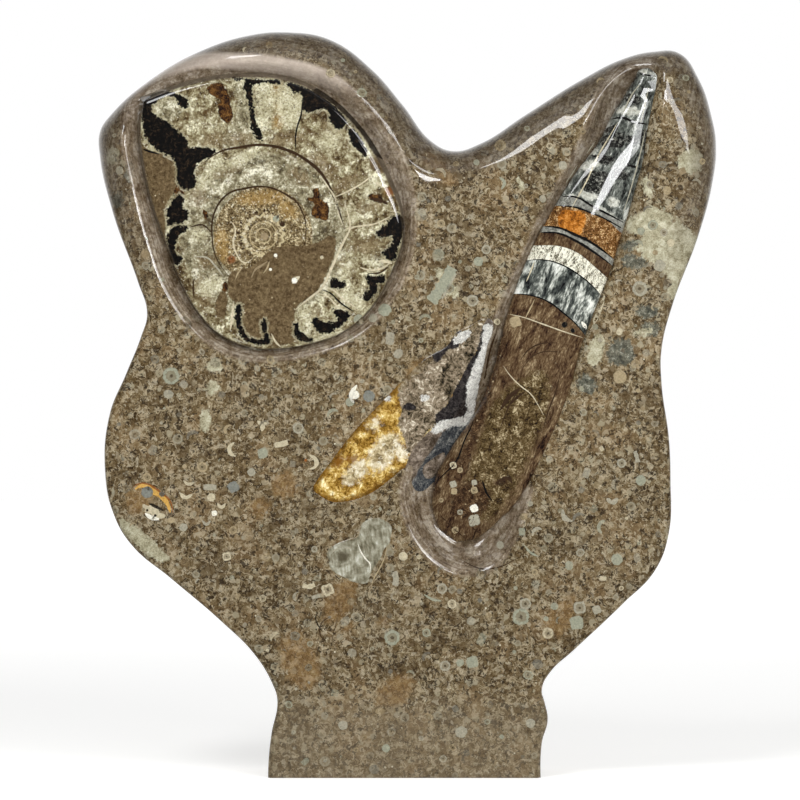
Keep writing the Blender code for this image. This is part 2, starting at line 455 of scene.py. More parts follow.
# %% stations of the orthoceras
# (x, z, half width, how far the crest lies behind the front plane; negative stands proud)
SHELL_STATIONS = np.array([
    (81.2, 237.4, 0.0, 4.4), (80.8, 236.2, 2.6, 2.6), (79.9, 233.0, 3.8, 1.4),
    (77.5, 227.0, 4.9, 0.9), (74.5, 219.5, 6.3, 0.2), (70.7, 208.0, 8.3, -0.8),
    (64.7, 195.5, 10.9, -1.6), (59.6, 184.4, 12.4, -2.1), (56.0, 176.0, 13.4, -2.2),
    (50.3, 162.3, 13.7, -2.18), (45.6, 149.0, 13.5, -2.1), (41.0, 132.0, 13.2, -2.0),
    (34.2, 115.5, 13.2, -1.7), (26.8, 103.0, 14.2, -1.2), (20.6, 92.7, 13.0, 0.4),
    (17.9, 84.3, 9.0, 3.2), (17.0, 80.6, 5.2, 5.0), (16.5, 78.7, 0.0, 6.6),
])


def through_stations(count):
    """Stations in between the given ones, on a smooth curve."""
    known = SHELL_STATIONS
    steps = np.linalg.norm(np.diff(known[:, :2], axis=0), axis=1)
    along = np.concatenate([[0], np.cumsum(steps)])
    slopes = np.gradient(known, along, axis=0)
    wanted = np.linspace(0, along[-1], count)
    span = np.clip(np.searchsorted(along, wanted, side="right") - 1, 0, len(along) - 2)
    width = steps[span][:, None]
    t = (wanted - along[span])[:, None] / width
    rows = ((2 * t**3 - 3 * t**2 + 1) * known[span] + (t**3 - 2 * t**2 + t) * width * slopes[span]
            + (3 * t**2 - 2 * t**3) * known[span + 1] + (t**3 - t**2) * width * slopes[span + 1])
    return wanted, rows


SHELL_ROWS = 320                # rows of the orthoceras's mesh along its length
shell_along, shell_rows = through_stations(SHELL_ROWS)
shell_middle = shell_rows[:, :2]
shell_half_width = np.maximum(shell_rows[:, 2], 0.0)
shell_crest = shell_rows[:, 3]
shell_heading = np.gradient(shell_middle, axis=0)
shell_heading /= np.linalg.norm(shell_heading, axis=1)[:, None]
shell_across = np.column_stack([-shell_heading[:, 1], shell_heading[:, 0]])
shell_edge = np.vstack([
    shell_middle + shell_across * shell_half_width[:, None],
    (shell_middle - shell_across * shell_half_width[:, None])[::-1],
])[::2]
print("orthoceras is", round(shell_along[-1], 1), "mm long")

# %% [markdown]
# ## The relief
# One function says how deep the ground stone lies behind the front plane at any point: the
# slab's rounded edge, the cove of each hollow, and the soft lip that the grinder leaves outside
# it. The stone sheet and every flush fossil read their depth from it, so they always agree.

# %% depth of the ground stone
EASED_EDGE = 2.6                # radius of the edge on hips and foot
LOBE_EDGE = 14.1                # and of the broad shoulders of the two lobes
SAWN_EDGE = 0.7                 # and along the saw cut under the foot
AMMONITE_COVE = 5.2             # deepest part of the hollow round the ammonite
SHELL_COVE = 7.2                # deepest part of the hollow round the orthoceras
AMMONITE_SLOPE = 0.75           # depth of a hollow for each millimetre of its width
SHELL_SLOPE = 0.8
LIP_HEIGHT = 1.3                # how far the ammonite's lip stands up from the flat face
LIP_DROP = 0.55                 # how much lower that lip is on its right
LIP_REACH = 11.0                # how far outside its crest it dies away
SHELL_LIP_HEIGHT = 0.7          # the same for the orthoceras's lip
SHELL_LIP_REACH = 8.0
HAND_WAVES = 0.10               # slow unevenness of a face ground by hand
HAND_RIPPLES = 0.05             # and quicker unevenness


def edge_radius(height):
    """Edges are ground into broad shoulders on the lobes and only eased on hips and foot."""
    return EASED_EDGE + (LOBE_EDGE - EASED_EDGE) * blend(172.0, 215.0, height)


def rounded_edge(inside, radius):
    """How far a rounded edge has dropped at a distance inside the outline."""
    return radius - np.sqrt(np.maximum(radius**2 - np.maximum(radius - inside, 0) ** 2, 0))


def cove(points, foot_line, lip_line, deepest, slope):
    """Depth of a hollow between a fossil's foot and the lip around it."""
    past_foot = -inside_distance(points, foot_line)
    within_lip = inside_distance(points, lip_line)
    width = np.maximum(past_foot, 0) + np.maximum(within_lip, 0)
    share = np.where(width > 0, np.maximum(past_foot, 0) / np.maximum(width, 0.01), 0)
    depth = np.minimum(slope * width, deepest)
    return np.where(within_lip > 0, depth * 0.5 * (1 + np.cos(math.pi * share)), 0), within_lip


def lip(within_lip, height, reach):
    """A soft swelling that is highest on the lip line and dies away outside it."""
    fade_out = 0.5 * (1 + np.cos(math.pi * np.clip(-within_lip / reach, 0, 1)))
    fade_in = 1 - blend(0.0, 5.0, within_lip)
    return height * np.where(within_lip < 0, fade_out, fade_in)


def relief_depth(points):
    """How far the ground stone lies behind the front plane, in mm."""
    inside = np.maximum(inside_distance(points, slab_line), 0)
    edge = rounded_edge(inside, edge_radius(points[:, 1]))
    sawn = rounded_edge(np.maximum(points[:, 1], 0), SAWN_EDGE)
    ammonite, from_ammonite = cove(points, ammonite_edge, ammonite_lip, AMMONITE_COVE,
                                   AMMONITE_SLOPE)
    shell, from_shell = cove(points, shell_edge, shell_lip, SHELL_COVE, SHELL_SLOPE)
    ground = (edge**4 + np.maximum(ammonite, shell) ** 4) ** 0.25
    x, z = points.T
    lip_height = LIP_HEIGHT - LIP_DROP * blend(-50.0, -20.0, x)
    swelling = np.maximum(lip(from_ammonite, lip_height, LIP_REACH),
                          lip(from_shell, SHELL_LIP_HEIGHT, SHELL_LIP_REACH))
    swelling *= blend(0.0, 5.0, inside)
    handwork = HAND_WAVES * np.sin(x / 15 + 1.3) * np.sin(z / 21 + 0.4)
    handwork += HAND_RIPPLES * np.sin((x - z) / 9)
    return np.maximum(ground, sawn) - swelling + handwork * blend(0.0, 8.0, inside)


across_waist = np.array([[x, 60.0] for x in (-80.0, -75.0, -60.0, 0.0)])
print("depths at the hip, from the edge inwards:", relief_depth(across_waist).round(2))

# %% [markdown]
# ## Marks drawn on the stone
# Stains, crystals and black calcite have outlines too, but a polished face keeps them perfectly
# flush. So they are not geometry: each point of a mesh stores how far it lies inside the drawn
# marks, and the finish turns that distance into a ragged edge.

# %% marks as distances
MARK_REACH = 3.0                # distances are only worked out this close to a mark


def oval(middle, length, width, lean=0.0):
    """Knots of an oval mark, its length turned so many degrees from level."""
    turn = math.radians(lean)
    knots = []
    for angle in np.linspace(0, math.tau, 8, endpoint=False):
        a, b = length / 2 * math.cos(angle), width / 2 * math.sin(angle)
        knots.append((middle[0] + a * math.cos(turn) - b * math.sin(turn),
                      middle[1] + a * math.sin(turn) + b * math.cos(turn)))
    return knots


def mark_distance(points, marks):
    """How far each point lies inside the nearest mark; never less than minus the reach."""
    value = np.full(len(points), -MARK_REACH)
    for knots in marks:
        line = smooth_line(knots, 0.8)
        low, high = line.min(axis=0) - MARK_REACH, line.max(axis=0) + MARK_REACH
        near = np.flatnonzero(((points > low) & (points < high)).all(axis=1))
        if len(near):
            value[near] = np.maximum(value[near], inside_distance(points[near], line))
    return value


def store(thing, name, values):
    """Keeps one value for each point of the mesh, for the finish to read."""
    attribute = thing.data.attributes.new(name, "FLOAT", "POINT")
    attribute.data.foreach_set("value", np.asarray(values, dtype=np.float32))


print("an oval 8 by 4 mm has", len(oval((0, 0), 8.0, 4.0)), "knots")

# %% [markdown]
# ## From lines to a closed sheet of stone
# A regular grid would step along the outline. Instead, points are laid in rings just inside
# the outline, where the edge curves hardest, and in an even triangle pattern over the rest.
# Blender's Delaunay routine joins them, and walls between the front and back sheets close it.

# %% mesh helpers
def triangle_pattern(line, step, seed):
    """Points of an even triangle pattern over a line's box, nudged a little off line."""
    low, high = line.min(axis=0), line.max(axis=0)
    rows = np.arange(low[1], high[1], step * math.sqrt(3) / 2)
    columns = np.arange(low[0], high[0], step)
    x, z = np.meshgrid(columns, rows)
    x = x + (np.arange(len(rows)) % 2)[:, None] * step / 2
    nudge = np.random.default_rng(seed).normal(0, step * 0.03, (x.size, 2))
    return np.column_stack([x.ravel(), z.ravel()]) + nudge


def sheet_points(boundary, step, insets, seed):
    """Boundary, rings inset from it, and the pattern inside them."""
    heading = np.roll(boundary, -1, axis=0) - np.roll(boundary, 1, axis=0)
    heading /= np.linalg.norm(heading, axis=1)[:, None]
    inward = np.column_stack([-heading[:, 1], heading[:, 0]])
    if inside_distance(boundary + inward * 0.1, boundary).mean() < 0:
        inward = -inward
    layers = [boundary]
    for inset in insets:
        ring = boundary + inward * inset
        layers.append(ring[inside_distance(ring, boundary) > inset * 0.93])
    field = triangle_pattern(boundary, step, seed)
    layers.append(field[inside_distance(field, boundary) > insets[-1] + step * 0.6])
    return np.vstack(layers)


def triangulate(points, boundary_count):
    """Faces over the points, inside the ring that the first of them make."""
    ring = [(i, (i + 1) % boundary_count) for i in range(boundary_count)]
    corners, _, faces, *_ = delaunay_2d_cdt([Vector(p) for p in points], ring, [], 1, 1e-4)
    assert len(corners) == len(points), "two points fell together"
    return [tuple(face) for face in faces]


def add_mesh(name, corners, faces, finish=None, sharp_above=180.0):
    """An object in metres from corners in millimetres, shaded smooth up to an angle."""
    mesh = bpy.data.meshes.new(name)
    mesh.from_pydata((np.asarray(corners) * MM).tolist(), [], faces)
    mesh.validate()
    shell = bmesh.new()
    shell.from_mesh(mesh)
    bmesh.ops.recalc_face_normals(shell, faces=shell.faces)
    shell.to_mesh(mesh)
    shell.free()
    mesh.shade_smooth()
    if sharp_above < 180:
        mesh.set_sharp_from_angle(angle=math.radians(sharp_above))
    thing = bpy.data.objects.new(name, mesh)
    bpy.context.scene.collection.objects.link(thing)
    if finish:
        mesh.materials.append(finish)
    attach(thing, "root")
    return thing


# %% [markdown]
# ## The slab
# Front and back of the real slab were ground separately: a carved face with broad shoulders on
# its two lobes, and a plain back with an eased edge. Here too the front is a fine sheet, the
# back a coarse one, and rows of quads make the wall between them. The foot is cut off level,
# as the saw left it, so the slab stands.

# %% stone mesh
FRONT_STEP = 1.25               # distance between points on the carved face
BACK_STEP = 3.2                 # and on the plain back
BACK_Y = 22.5                   # the plane of the back
BACK_ROUND = 5.0                # radius of its eased edge
RING_INSETS = [0.03, 0.12, 0.28, 0.5, 0.8, 1.2, 1.8, 2.6]
WALL_ROWS = 6                   # rows of points on the wall between front and back
CUT_CLEAR = 0.4                 # outline points lower than this give way to the saw cut


def cut_at_foot(line):
    """The part of the outline above the saw cut, closed by points along the cut."""
    above = line[:, 1] > CUT_CLEAR
    first = np.flatnonzero(above & ~np.roll(above, 1))[0]
    kept = np.roll(line, -first, axis=0)[:above.sum()]
    left = np.array([kept[0][0], 0.0])
    right = np.array([kept[-1][0], 0.0])
    count = round(abs(right[0] - left[0]) / OUTLINE_STEP)
    return np.vstack([kept, np.linspace(right, left, count + 1)])


def build_stone():
    boundary = cut_at_foot(slab_line)
    count = len(boundary)
    front = sheet_points(boundary, FRONT_STEP, RING_INSETS, seed=1)
    back = sheet_points(boundary, BACK_STEP, RING_INSETS, seed=2)
    front_y = FACE_Y + relief_depth(front)
    back_inside = np.maximum(inside_distance(back, slab_line), 0)
    back_y = BACK_Y - np.maximum(rounded_edge(back_inside, BACK_ROUND),
                                 rounded_edge(np.maximum(back[:, 1], 0), SAWN_EDGE))
    shares = np.arange(1, WALL_ROWS + 1)[:, None] / (WALL_ROWS + 1)
    wall_y = (front_y[:count] * (1 - shares) + back_y[:count] * shares).ravel()
    flat = np.vstack([front, back, np.tile(boundary, (WALL_ROWS, 1))])
    depth = np.concatenate([front_y, back_y, wall_y])
    corners = np.column_stack([flat[:, 0], depth, flat[:, 1]])
    back_start, wall_start = len(front), len(front) + len(back)
    faces = triangulate(front, count)
    faces += [tuple(back_start + i for i in reversed(face)) for face in triangulate(back, count)]
    loops = [0] + [wall_start + row * count for row in range(WALL_ROWS)] + [back_start]
    for near, far in zip(loops, loops[1:]):
        for i in range(count):
            j = (i + 1) % count
            faces.append((near + i, near + j, far + j, far + i))
    return add_mesh("limestone_slab", corners, faces, sharp_above=60.0)


stone = build_stone()
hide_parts("fossil_stone")
print("slab:", len(stone.data.polygons), "faces")

# %% [markdown]
# ## The limestone's finish
# Cut and polished sea-lily limestone is a hash of broken grains: crumbs a millimetre across,
# thin curls of shell, and rounder bits of stem. The finish builds it the same way. A frayed
# mottle is the mud, layers of Voronoi cells are the bits, and thin bands round one level of a
# noise are the curls. Every layer is shifted, so that its cells don't fall on another layer's.

# %% limestone finish
MUD = [(30, 19, 8), (76, 59, 34), (108, 90, 61), (138, 122, 93), (206, 196, 168)]


def grains(finish, place, below, size, share, reach, colours, ringed=False, strength=0.85):
    """Scatters frayed round bits, one to a chosen cell, over the colour below."""
    spot, (pick, tint, girth) = finish.cells(place, size)
    chosen = finish.ramp(pick, 1 - share, 1 - share + 0.02)
    radius = (girth * 0.5 + 0.5) * reach
    body = finish.ramp(spot - radius, 0.04, -0.04) * chosen
    colour = finish.mix(chart(*colours[0]), chart(*colours[1]), tint)
    if ringed:
        heart = finish.ramp(spot - radius * 0.66, 0.04, -0.04)
        pit = finish.ramp(spot - radius * 0.26, 0.03, -0.03)
        colour = finish.mix(colour, chart(118, 106, 82), heart * 0.7)
        colour = finish.mix(colour, chart(66, 55, 40), pit * 0.8)
    return finish.mix(below, colour, body * strength)


def shards(finish, place, below, size, colours, strength):
    """Angular crumbs: each cell of a squashed Voronoi pattern takes one tone."""
    _, (flat_tone, _, _) = finish.cells(finish.stretched(place, (0.6, 1, 1.2)), size, "MANHATTAN")
    _, (tall_tone, _, _) = finish.cells(finish.stretched(place, (1.2, 1, 0.6)), size, "MANHATTAN")
    turned = finish.ramp(finish.noise(place, size * 2.0), 0.49, 0.51)
    tone = flat_tone * turned + tall_tone * (1 - turned)
    steps = np.linspace(0.0, 1.0, len(colours))
    crumbs = finish.shades(tone, [(s, chart(*c)) for s, c in zip(steps, colours)])
    return finish.mix(below, crumbs, strength)


def curls(finish, place, below, size, colour, strength):
    """Thin curved bits: the places where a noise passes one level, shown only here and there."""
    field = finish.noise(place, size, detail=1.0, warp=1.0)
    line = finish.ramp(finish.math("ABSOLUTE", field - 0.5), 0.055, 0.025)
    here = finish.ramp(finish.noise(place, size * 1.1, detail=1.0), 0.50, 0.54)
    return finish.mix(below, chart(*colour), line * here * strength)


def limestone(finish, place):
    """The matrix: mud, clouds in it, and crumbs, stem bits and shell curls over it."""
    frayed = finish.warped(place, 1.3, 1.6)
    colour = finish.mottle(frayed, 2.2, MUD, grain=0.5, spread=0.13)
    clouds = finish.noise(place, 13.0, detail=4.0, roughness=0.6)
    colour = finish.mix(colour, chart(146, 120, 86), finish.ramp(clouds, 0.50, 0.62) * 0.5)
    colour = finish.mix(colour, chart(74, 60, 42), finish.ramp(clouds, 0.49, 0.38) * 0.55)
    colour = shards(finish, frayed, colour, 1.2, [(40, 27, 12), (84, 67, 41), (104, 88, 60),
                                                  (132, 118, 91), (200, 191, 166)], 0.46)
    colour = grains(finish, frayed, colour, 1.9, 0.30, 0.44, [(152, 140, 114), (104, 88, 64)])
    away = finish.shifted(frayed, (31.0, 7.0, 12.0))
    colour = grains(finish, away, colour, 3.2, 0.26, 0.38, [(170, 164, 140), (140, 128, 102)])
    away = finish.shifted(finish.warped(place, 1.4, 0.5), (11.0, 3.0, 5.0))
    colour = grains(finish, away, colour, 5.4, 0.26, 0.33, [(166, 163, 144), (142, 134, 112)],
                    ringed=True)
    colour = curls(finish, place, colour, 2.6, (168, 154, 126), 0.7)
    colour = curls(finish, finish.shifted(frayed, (7.0, 2.0, 9.0)), colour, 2.2, (42, 32, 22), 0.85)
    away = finish.shifted(frayed, (3.0, 9.0, 2.0))
    colour = grains(finish, away, colour, 1.3, 0.14, 0.36, [(34, 26, 18), (52, 42, 30)])
    away = finish.shifted(place, (5.0, 1.0, 8.0))
    return grains(finish, away, colour, 2.4, 0.05, 0.13, [(236, 230, 208), (214, 206, 180)])


print("the mud runs from", MUD[0], "to", MUD[-1])

# %% [markdown]
# ## Stains and patches
# Cream, slate and rust patches break up the matrix. They have drawn outlines too, and the finish
# frays them hard, so that no outline shows. The two hollows were ground after the face, with
# another wheel, and their floor and lips are smoother, pinkish and streaked along the cut; the
# light streaks carry painted sheen as well.

# %% stains drawn on the slab
PALE_PATCHES = [
    [(73.2, 184.4), (74.5, 187.4), (77.9, 188.8), (79.9, 191.1), (82.6, 190.8), (85.9, 189.1),
     (89.9, 186.8), (92.6, 184.4), (96.0, 181.1), (97.0, 178.1), (94.6, 174.4), (92.6, 169.0),
     (90.9, 164.3), (89.3, 159.7), (86.9, 160.7), (86.9, 165.0), (85.9, 168.7), (83.2, 171.4),
     (80.2, 173.0), (77.9, 175.4), (75.2, 176.7), (77.9, 178.7), (77.9, 181.4), (75.2, 181.7)],
    oval((80.2, 197.1), 3.0, 7.0, 15), oval((62.8, 142.9), 5.0, 11.0, -12),
    oval((-64.0, 137.6), 5.5, 4.0, 10), oval((-65.0, 130.5), 4.5, 4.5, 30),
    oval((-67.4, 119.5), 3.6, 7.5, 0),
    [(-95.5, 86.7), (-92.1, 85.3), (-87.5, 82.0), (-82.8, 77.3), (-79.4, 72.6), (-82.8, 72.6),
     (-87.5, 75.3), (-91.5, 79.0), (-94.8, 82.7)],
    oval((78.9, 148.9), 7.0, 2.4, 10), oval((94.6, 205.8), 9.0, 8.0, 30),
    oval((-98.5, 207.8), 4.0, 6.0, 0), oval((13.3, 165.0), 4.0, 12.0, 30),
    oval((37.7, 198.5), 2.0, 4.0, 20),
]
SLATE_PATCHES = [
    oval((74.5, 177.7), 6.5, 3.6, 20), oval((75.5, 172.4), 9.0, 4.6, -10),
    oval((71.2, 142.2), 9.5, 9.0, 20), oval((59.8, 131.5), 6.0, 7.0, 40),
    oval((81.2, 149.9), 6.0, 5.0, 0), oval((68.5, 197.8), 3.0, 9.0, 30),
    oval((79.6, 155.6), 8.0, 4.0, 0), oval((-92.8, 202.5), 3.0, 8.0, 0),
    oval((-96.8, 193.1), 4.0, 5.0, 0),
]
RUST_PATCHES = [
    oval((-49.3, 90.0), 7.0, 6.0, 20), oval((-40.9, 97.7), 9.0, 8.0, 40),
    oval((-22.5, 59.2), 16.0, 9.0, 60), oval((-35.9, 39.2), 12.0, 20.0, 20),
    oval((-4.1, 29.1), 14.0, 9.0, 30), oval((52.8, 54.2), 6.0, 15.0, -20),
    oval((48.4, 51.9), 4.0, 12.0, -20), oval((-7.8, 52.2), 3.0, 2.4, 0),
    oval((-19.5, 49.9), 4.0, 3.0, 0), oval((4.3, 134.5), 12.0, 9.0, 50),
    oval((-89.5, 92.7), 9.0, 9.0, 0), oval((10.9, 203.2), 14.0, 5.0, -50),
    oval((-20.9, 102.8), 8.0, 4.0, 50),
]
SMOOTH_BELOW = 95.0             # from here down the ground band shows right of the shell too
HIDDEN = -20                    # stored behind the front, where no hollow is


def nearest_row(points):
    """The orthoceras's row that lies nearest to each point."""
    return np.concatenate([
        ((some[:, None] - shell_middle[None]) ** 2).sum(axis=2).argmin(axis=1)
        for some in np.array_split(points, len(points) // 2000 + 1)])


def surface_points(thing):
    """The mesh's corners in millimetres."""
    corners = np.empty(len(thing.data.vertices) * 3)
    thing.data.vertices.foreach_get("co", corners)
    return corners.reshape(-1, 3) / MM


def paint_stone():
    corners = surface_points(stone)
    points = corners[:, [0, 2]]
    front = corners[:, 1] < 0
    for name, line in [("ammonite_hollow", ammonite_lip), ("shell_hollow", shell_lip)]:
        store(stone, name, np.where(front, inside_distance(points, line), HIDDEN))
    row = nearest_row(points)
    beyond = ((points - shell_middle[row]) * shell_across[row]).sum(axis=1)
    low = 1 - blend(SMOOTH_BELOW - 10, SMOOTH_BELOW + 10, points[:, 1])
    store(stone, "past_shell", beyond - 40 * low)
    store(stone, "from_edge", inside_distance(points, slab_line))
    for name, marks in [("pale", PALE_PATCHES), ("slate", SLATE_PATCHES), ("rust", RUST_PATCHES)]:
        store(stone, name, mark_distance(points, marks))


paint_stone()
print(len(PALE_PATCHES) + len(SLATE_PATCHES) + len(RUST_PATCHES), "patches on the matrix")

# %% [markdown]
# ## One finish for the whole slab
# The stone's colour is put together in the order in which it came about: the limestone
# first, then rust that water brought, slate and cream patches of other mud, and last what
# the grinder did. Over that go painted shade on the lobes' shoulders and painted sheen on the
# lip's crest and in the hollows' streaks. Doing it in one material keeps every border soft and
# frayed. Separate materials would meet at the edges of faces.

# %% stone finish
def stone_finish():
    finish = Finish("polished_limestone")
    place = finish.place()
    colour = limestone(finish, place)
    across, _, height = finish.parts(place)
    fray = (finish.noise(place, 3.0, detail=4.0, roughness=0.65) - 0.5) * 9.0
    speck = (finish.noise(place, 0.9, detail=2.0) - 0.5) * 3.0

    # what water and other mud left
    rust = finish.mottle(place, 2.0, [(84, 58, 30), (120, 92, 56), (150, 118, 74), (170, 146, 104)])
    colour = finish.mark(colour, "rust", rust, fray, soft=1.5, strength=0.55)
    slate = finish.mottle(place, 1.8, [(34, 38, 36), (70, 74, 66), (104, 104, 92),
                                       (176, 178, 164)])
    colour = finish.mark(colour, "slate", slate, fray * 0.5 + speck, soft=0.6, strength=0.85)
    pale = finish.mottle(place, 2.4, [(112, 106, 82), (158, 152, 124), (186, 182, 156),
                                      (212, 208, 184)])
    colour = finish.mark(colour, "pale", pale, fray * 0.45 + speck, soft=0.5, strength=0.9)

    # smooth hollows the grinder left, with painted sheen in their streaks; painted shade on
    # shoulders, painted sheen on the crest
    left_of_shell = finish.ramp(finish.grown("past_shell") + fray * 0.5, 5.0, -1.0)
    hollow = finish.math("MAXIMUM", finish.grown("ammonite_hollow"), finish.grown("shell_hollow"))
    # the rounded shoulders of the two lobes, which take painted shade and some of the ground's
    # colour
    edge = finish.ramp(finish.grown("from_edge"), 13.0, 4.0) * finish.ramp(height, 150.0, 215.0)
    smooth = finish.ramp(hollow, -1.2, 0.8) * left_of_shell
    smooth = finish.math("MAXIMUM", smooth, edge * 0.4)
    # painted shade on the lobes' rounded shoulders, which turn away from the lamps
    colour = finish.mix(colour, finish.shaded(colour, 0.47), edge)
    # the ground band: smooth pinkish stone streaked along the cut, and its light streaks are also
    # painted sheen lines
    along = finish.joined(hollow * 1.4, finish.noise(place, 26.0) * 2.5, 0.0)
    blotch = finish.noise(finish.warped(place, 6.0, 4.0), 5.5, detail=5.0, roughness=0.66)
    fine = finish.noise(place, 1.1, detail=3.0, roughness=0.7)
    streaks_and_sheen = finish.noise(along, 1.0, detail=4.0) * 0.25 + blotch * 0.45 + fine * 0.3
    ground = finish.shades(streaks_and_sheen, [
        (0.41, chart(74, 58, 43)), (0.47, chart(118, 102, 85)), (0.52, chart(144, 129, 112)),
        (0.58, chart(192, 181, 165)),
    ])
    colour = finish.mix(colour, ground, smooth * 0.66)
    # darker in the hollow left of the orthoceras, from 100 mm up
    beside_shell = finish.ramp(finish.grown("shell_hollow"), -0.5, 1.0) * left_of_shell
    colour = finish.mix(colour, finish.shaded(colour, 0.76),
                        beside_shell * finish.ramp(height, 100.0, 130.0))
    # painted sheen over the pinkish stone: the lip's crest along the top is made paler, fading to
    # the right
    crest_sheen = finish.ramp(hollow, -1.5, 0.5) * finish.ramp(hollow, 6.0, 3.5)
    crest_sheen = crest_sheen * finish.ramp(height, 224.0, 238.0) * finish.ramp(across, 10.0, -20.0)
    colour = finish.mix(colour, finish.mix(chart(176, 160, 146), chart(226, 214, 202), streaks_and_sheen),
                        crest_sheen * 0.7)

    # a greyer foot, and hips a little darker than the lobes
    foot = finish.ramp(height, 34.0, 16.0)
    grey = finish.mottle(place, 3.0, [(96, 84, 66), (124, 112, 92), (150, 139, 118)])
    colour = finish.mix(colour, grey, foot * 0.4)
    lower = finish.ramp(height, 125.0, 70.0)
    colour = finish.mix(colour, finish.shaded(colour, 0.91), lower * finish.ramp(height, 10.0, 40.0))
    return finish.finish(colour, roughness=finish.ramp(speck, -1.0, 1.0) * 0.15 + 0.3, height=speck)


stone.data.materials.append(stone_finish())
print(len(stone.data.materials[0].node_tree.nodes), "nodes in the stone's finish")

# %% [markdown]
# ## Sheets that bulge
# Each raised fossil is a closed sheet of its own that sits in the stone. The ammonite is built
# in rings from the middle outwards, with a rounded shoulder and a flank that runs down into the
# hollow.

# %% ammonite mesh
AMMONITE_CROWN = -1.7           # crest of the ammonite, ahead of the front plane
AMMONITE_SAG = 0.8              # how much lower its shoulder lies than its crest
SHOULDER = 2.0                  # radius of the shoulder
FLANK = 1.3                     # how far its flank runs out
FLANK_PROFILE = [(0.2, 0.25), (0.45, 0.5), (0.75, 0.78), (1.0, 1.0), (1.0, 1.4)]   # out, down
SPIRAL_CENTRE = np.array([-48.0, 181.0])
SPOKES = 560                    # points in each ring of its mesh

spoke_angles = np.linspace(0, math.tau, SPOKES, endpoint=False)
edge_from_centre = ammonite_edge - SPIRAL_CENTRE
edge_angles = np.arctan2(edge_from_centre[:, 1], edge_from_centre[:, 0]) % math.tau
edge_order = np.argsort(edge_angles)


def reach_at(angles):
    """How far the ammonite's shoulder line lies from the middle of its coil."""
    far = np.linalg.norm(edge_from_centre, axis=1)
    return np.interp(angles % math.tau, edge_angles[edge_order], far[edge_order],
                     period=math.tau)


def ammonite_depth(points):
    """How far the ammonite's polished top lies behind the front plane."""
    out = points - SPIRAL_CENTRE
    radius = np.linalg.norm(out, axis=1)
    reach = reach_at(np.arctan2(out[:, 1], out[:, 0]))
    bow = AMMONITE_CROWN + AMMONITE_SAG * np.clip(radius / reach, 0, 1) ** 4
    return bow + rounded_edge(np.maximum(reach - radius, 0), SHOULDER) * 0.55


def build_ammonite():
    reach = reach_at(spoke_angles)
    directions = np.column_stack([np.cos(spoke_angles), np.sin(spoke_angles)])
    near_edge = 1 - 0.05 * (1 - np.linspace(0.08, 1, 12)) ** 1.5   # rings crowd at the shoulder
    shares = np.concatenate([np.linspace(0.010, 0.95, 84), near_edge])
    corners = []
    for share in shares:
        flat = SPIRAL_CENTRE + directions * (reach * share)[:, None]
        depth = FACE_Y + ammonite_depth(flat)
        corners.append(np.column_stack([flat[:, 0], depth, flat[:, 1]]))
    height = SPIRAL_CENTRE[1] + reach * np.sin(spoke_angles)
    flank = FLANK * (1 + blend(165.0, 205.0, height))       # twice as wide at the top
    shoulder_depth = AMMONITE_CROWN + AMMONITE_SAG + SHOULDER * 0.55
    foot_depth = AMMONITE_COVE + 1.0
    for share, fall in FLANK_PROFILE:
        flat = SPIRAL_CENTRE + directions * (reach + flank * share)[:, None]
        depth = np.full(SPOKES, FACE_Y + shoulder_depth + (foot_depth - shoulder_depth) * fall)
        corners.append(np.column_stack([flat[:, 0], depth, flat[:, 1]]))
    rows = len(corners)
    faces = []
    for row in range(rows - 1):
        for i in range(SPOKES):
            j = (i + 1) % SPOKES
            a, b = row * SPOKES, (row + 1) * SPOKES
            faces.append((a + i, a + j, b + j, b + i))
    corners = np.vstack(corners)
    hub = len(corners)
    middle = [(SPIRAL_CENTRE[0], FACE_Y + AMMONITE_CROWN, SPIRAL_CENTRE[1]),
              (SPIRAL_CENTRE[0], corners[-1][1], SPIRAL_CENTRE[1])]
    last = (rows - 1) * SPOKES
    for i in range(SPOKES):
        j = (i + 1) % SPOKES
        faces.append((hub, j, i))
        faces.append((last + i, last + j, hub + 1))
    return add_mesh("ammonite", np.vstack([corners, middle]), faces, sharp_above=75.0)


ammonite = build_ammonite()
print("ammonite:", len(ammonite.data.polygons), "faces")

# %% [markdown]
# ## What fills the ammonite
# The shell's chambers filled at different times. Black calcite lines the outer ones, iron
# coloured some brown, clear white crystal closed most of the rest, and mud ran in where the
# shell was broken. The borders wander, so each fill is drawn as a few loose outlines, and
# the finish makes their edges ragged.

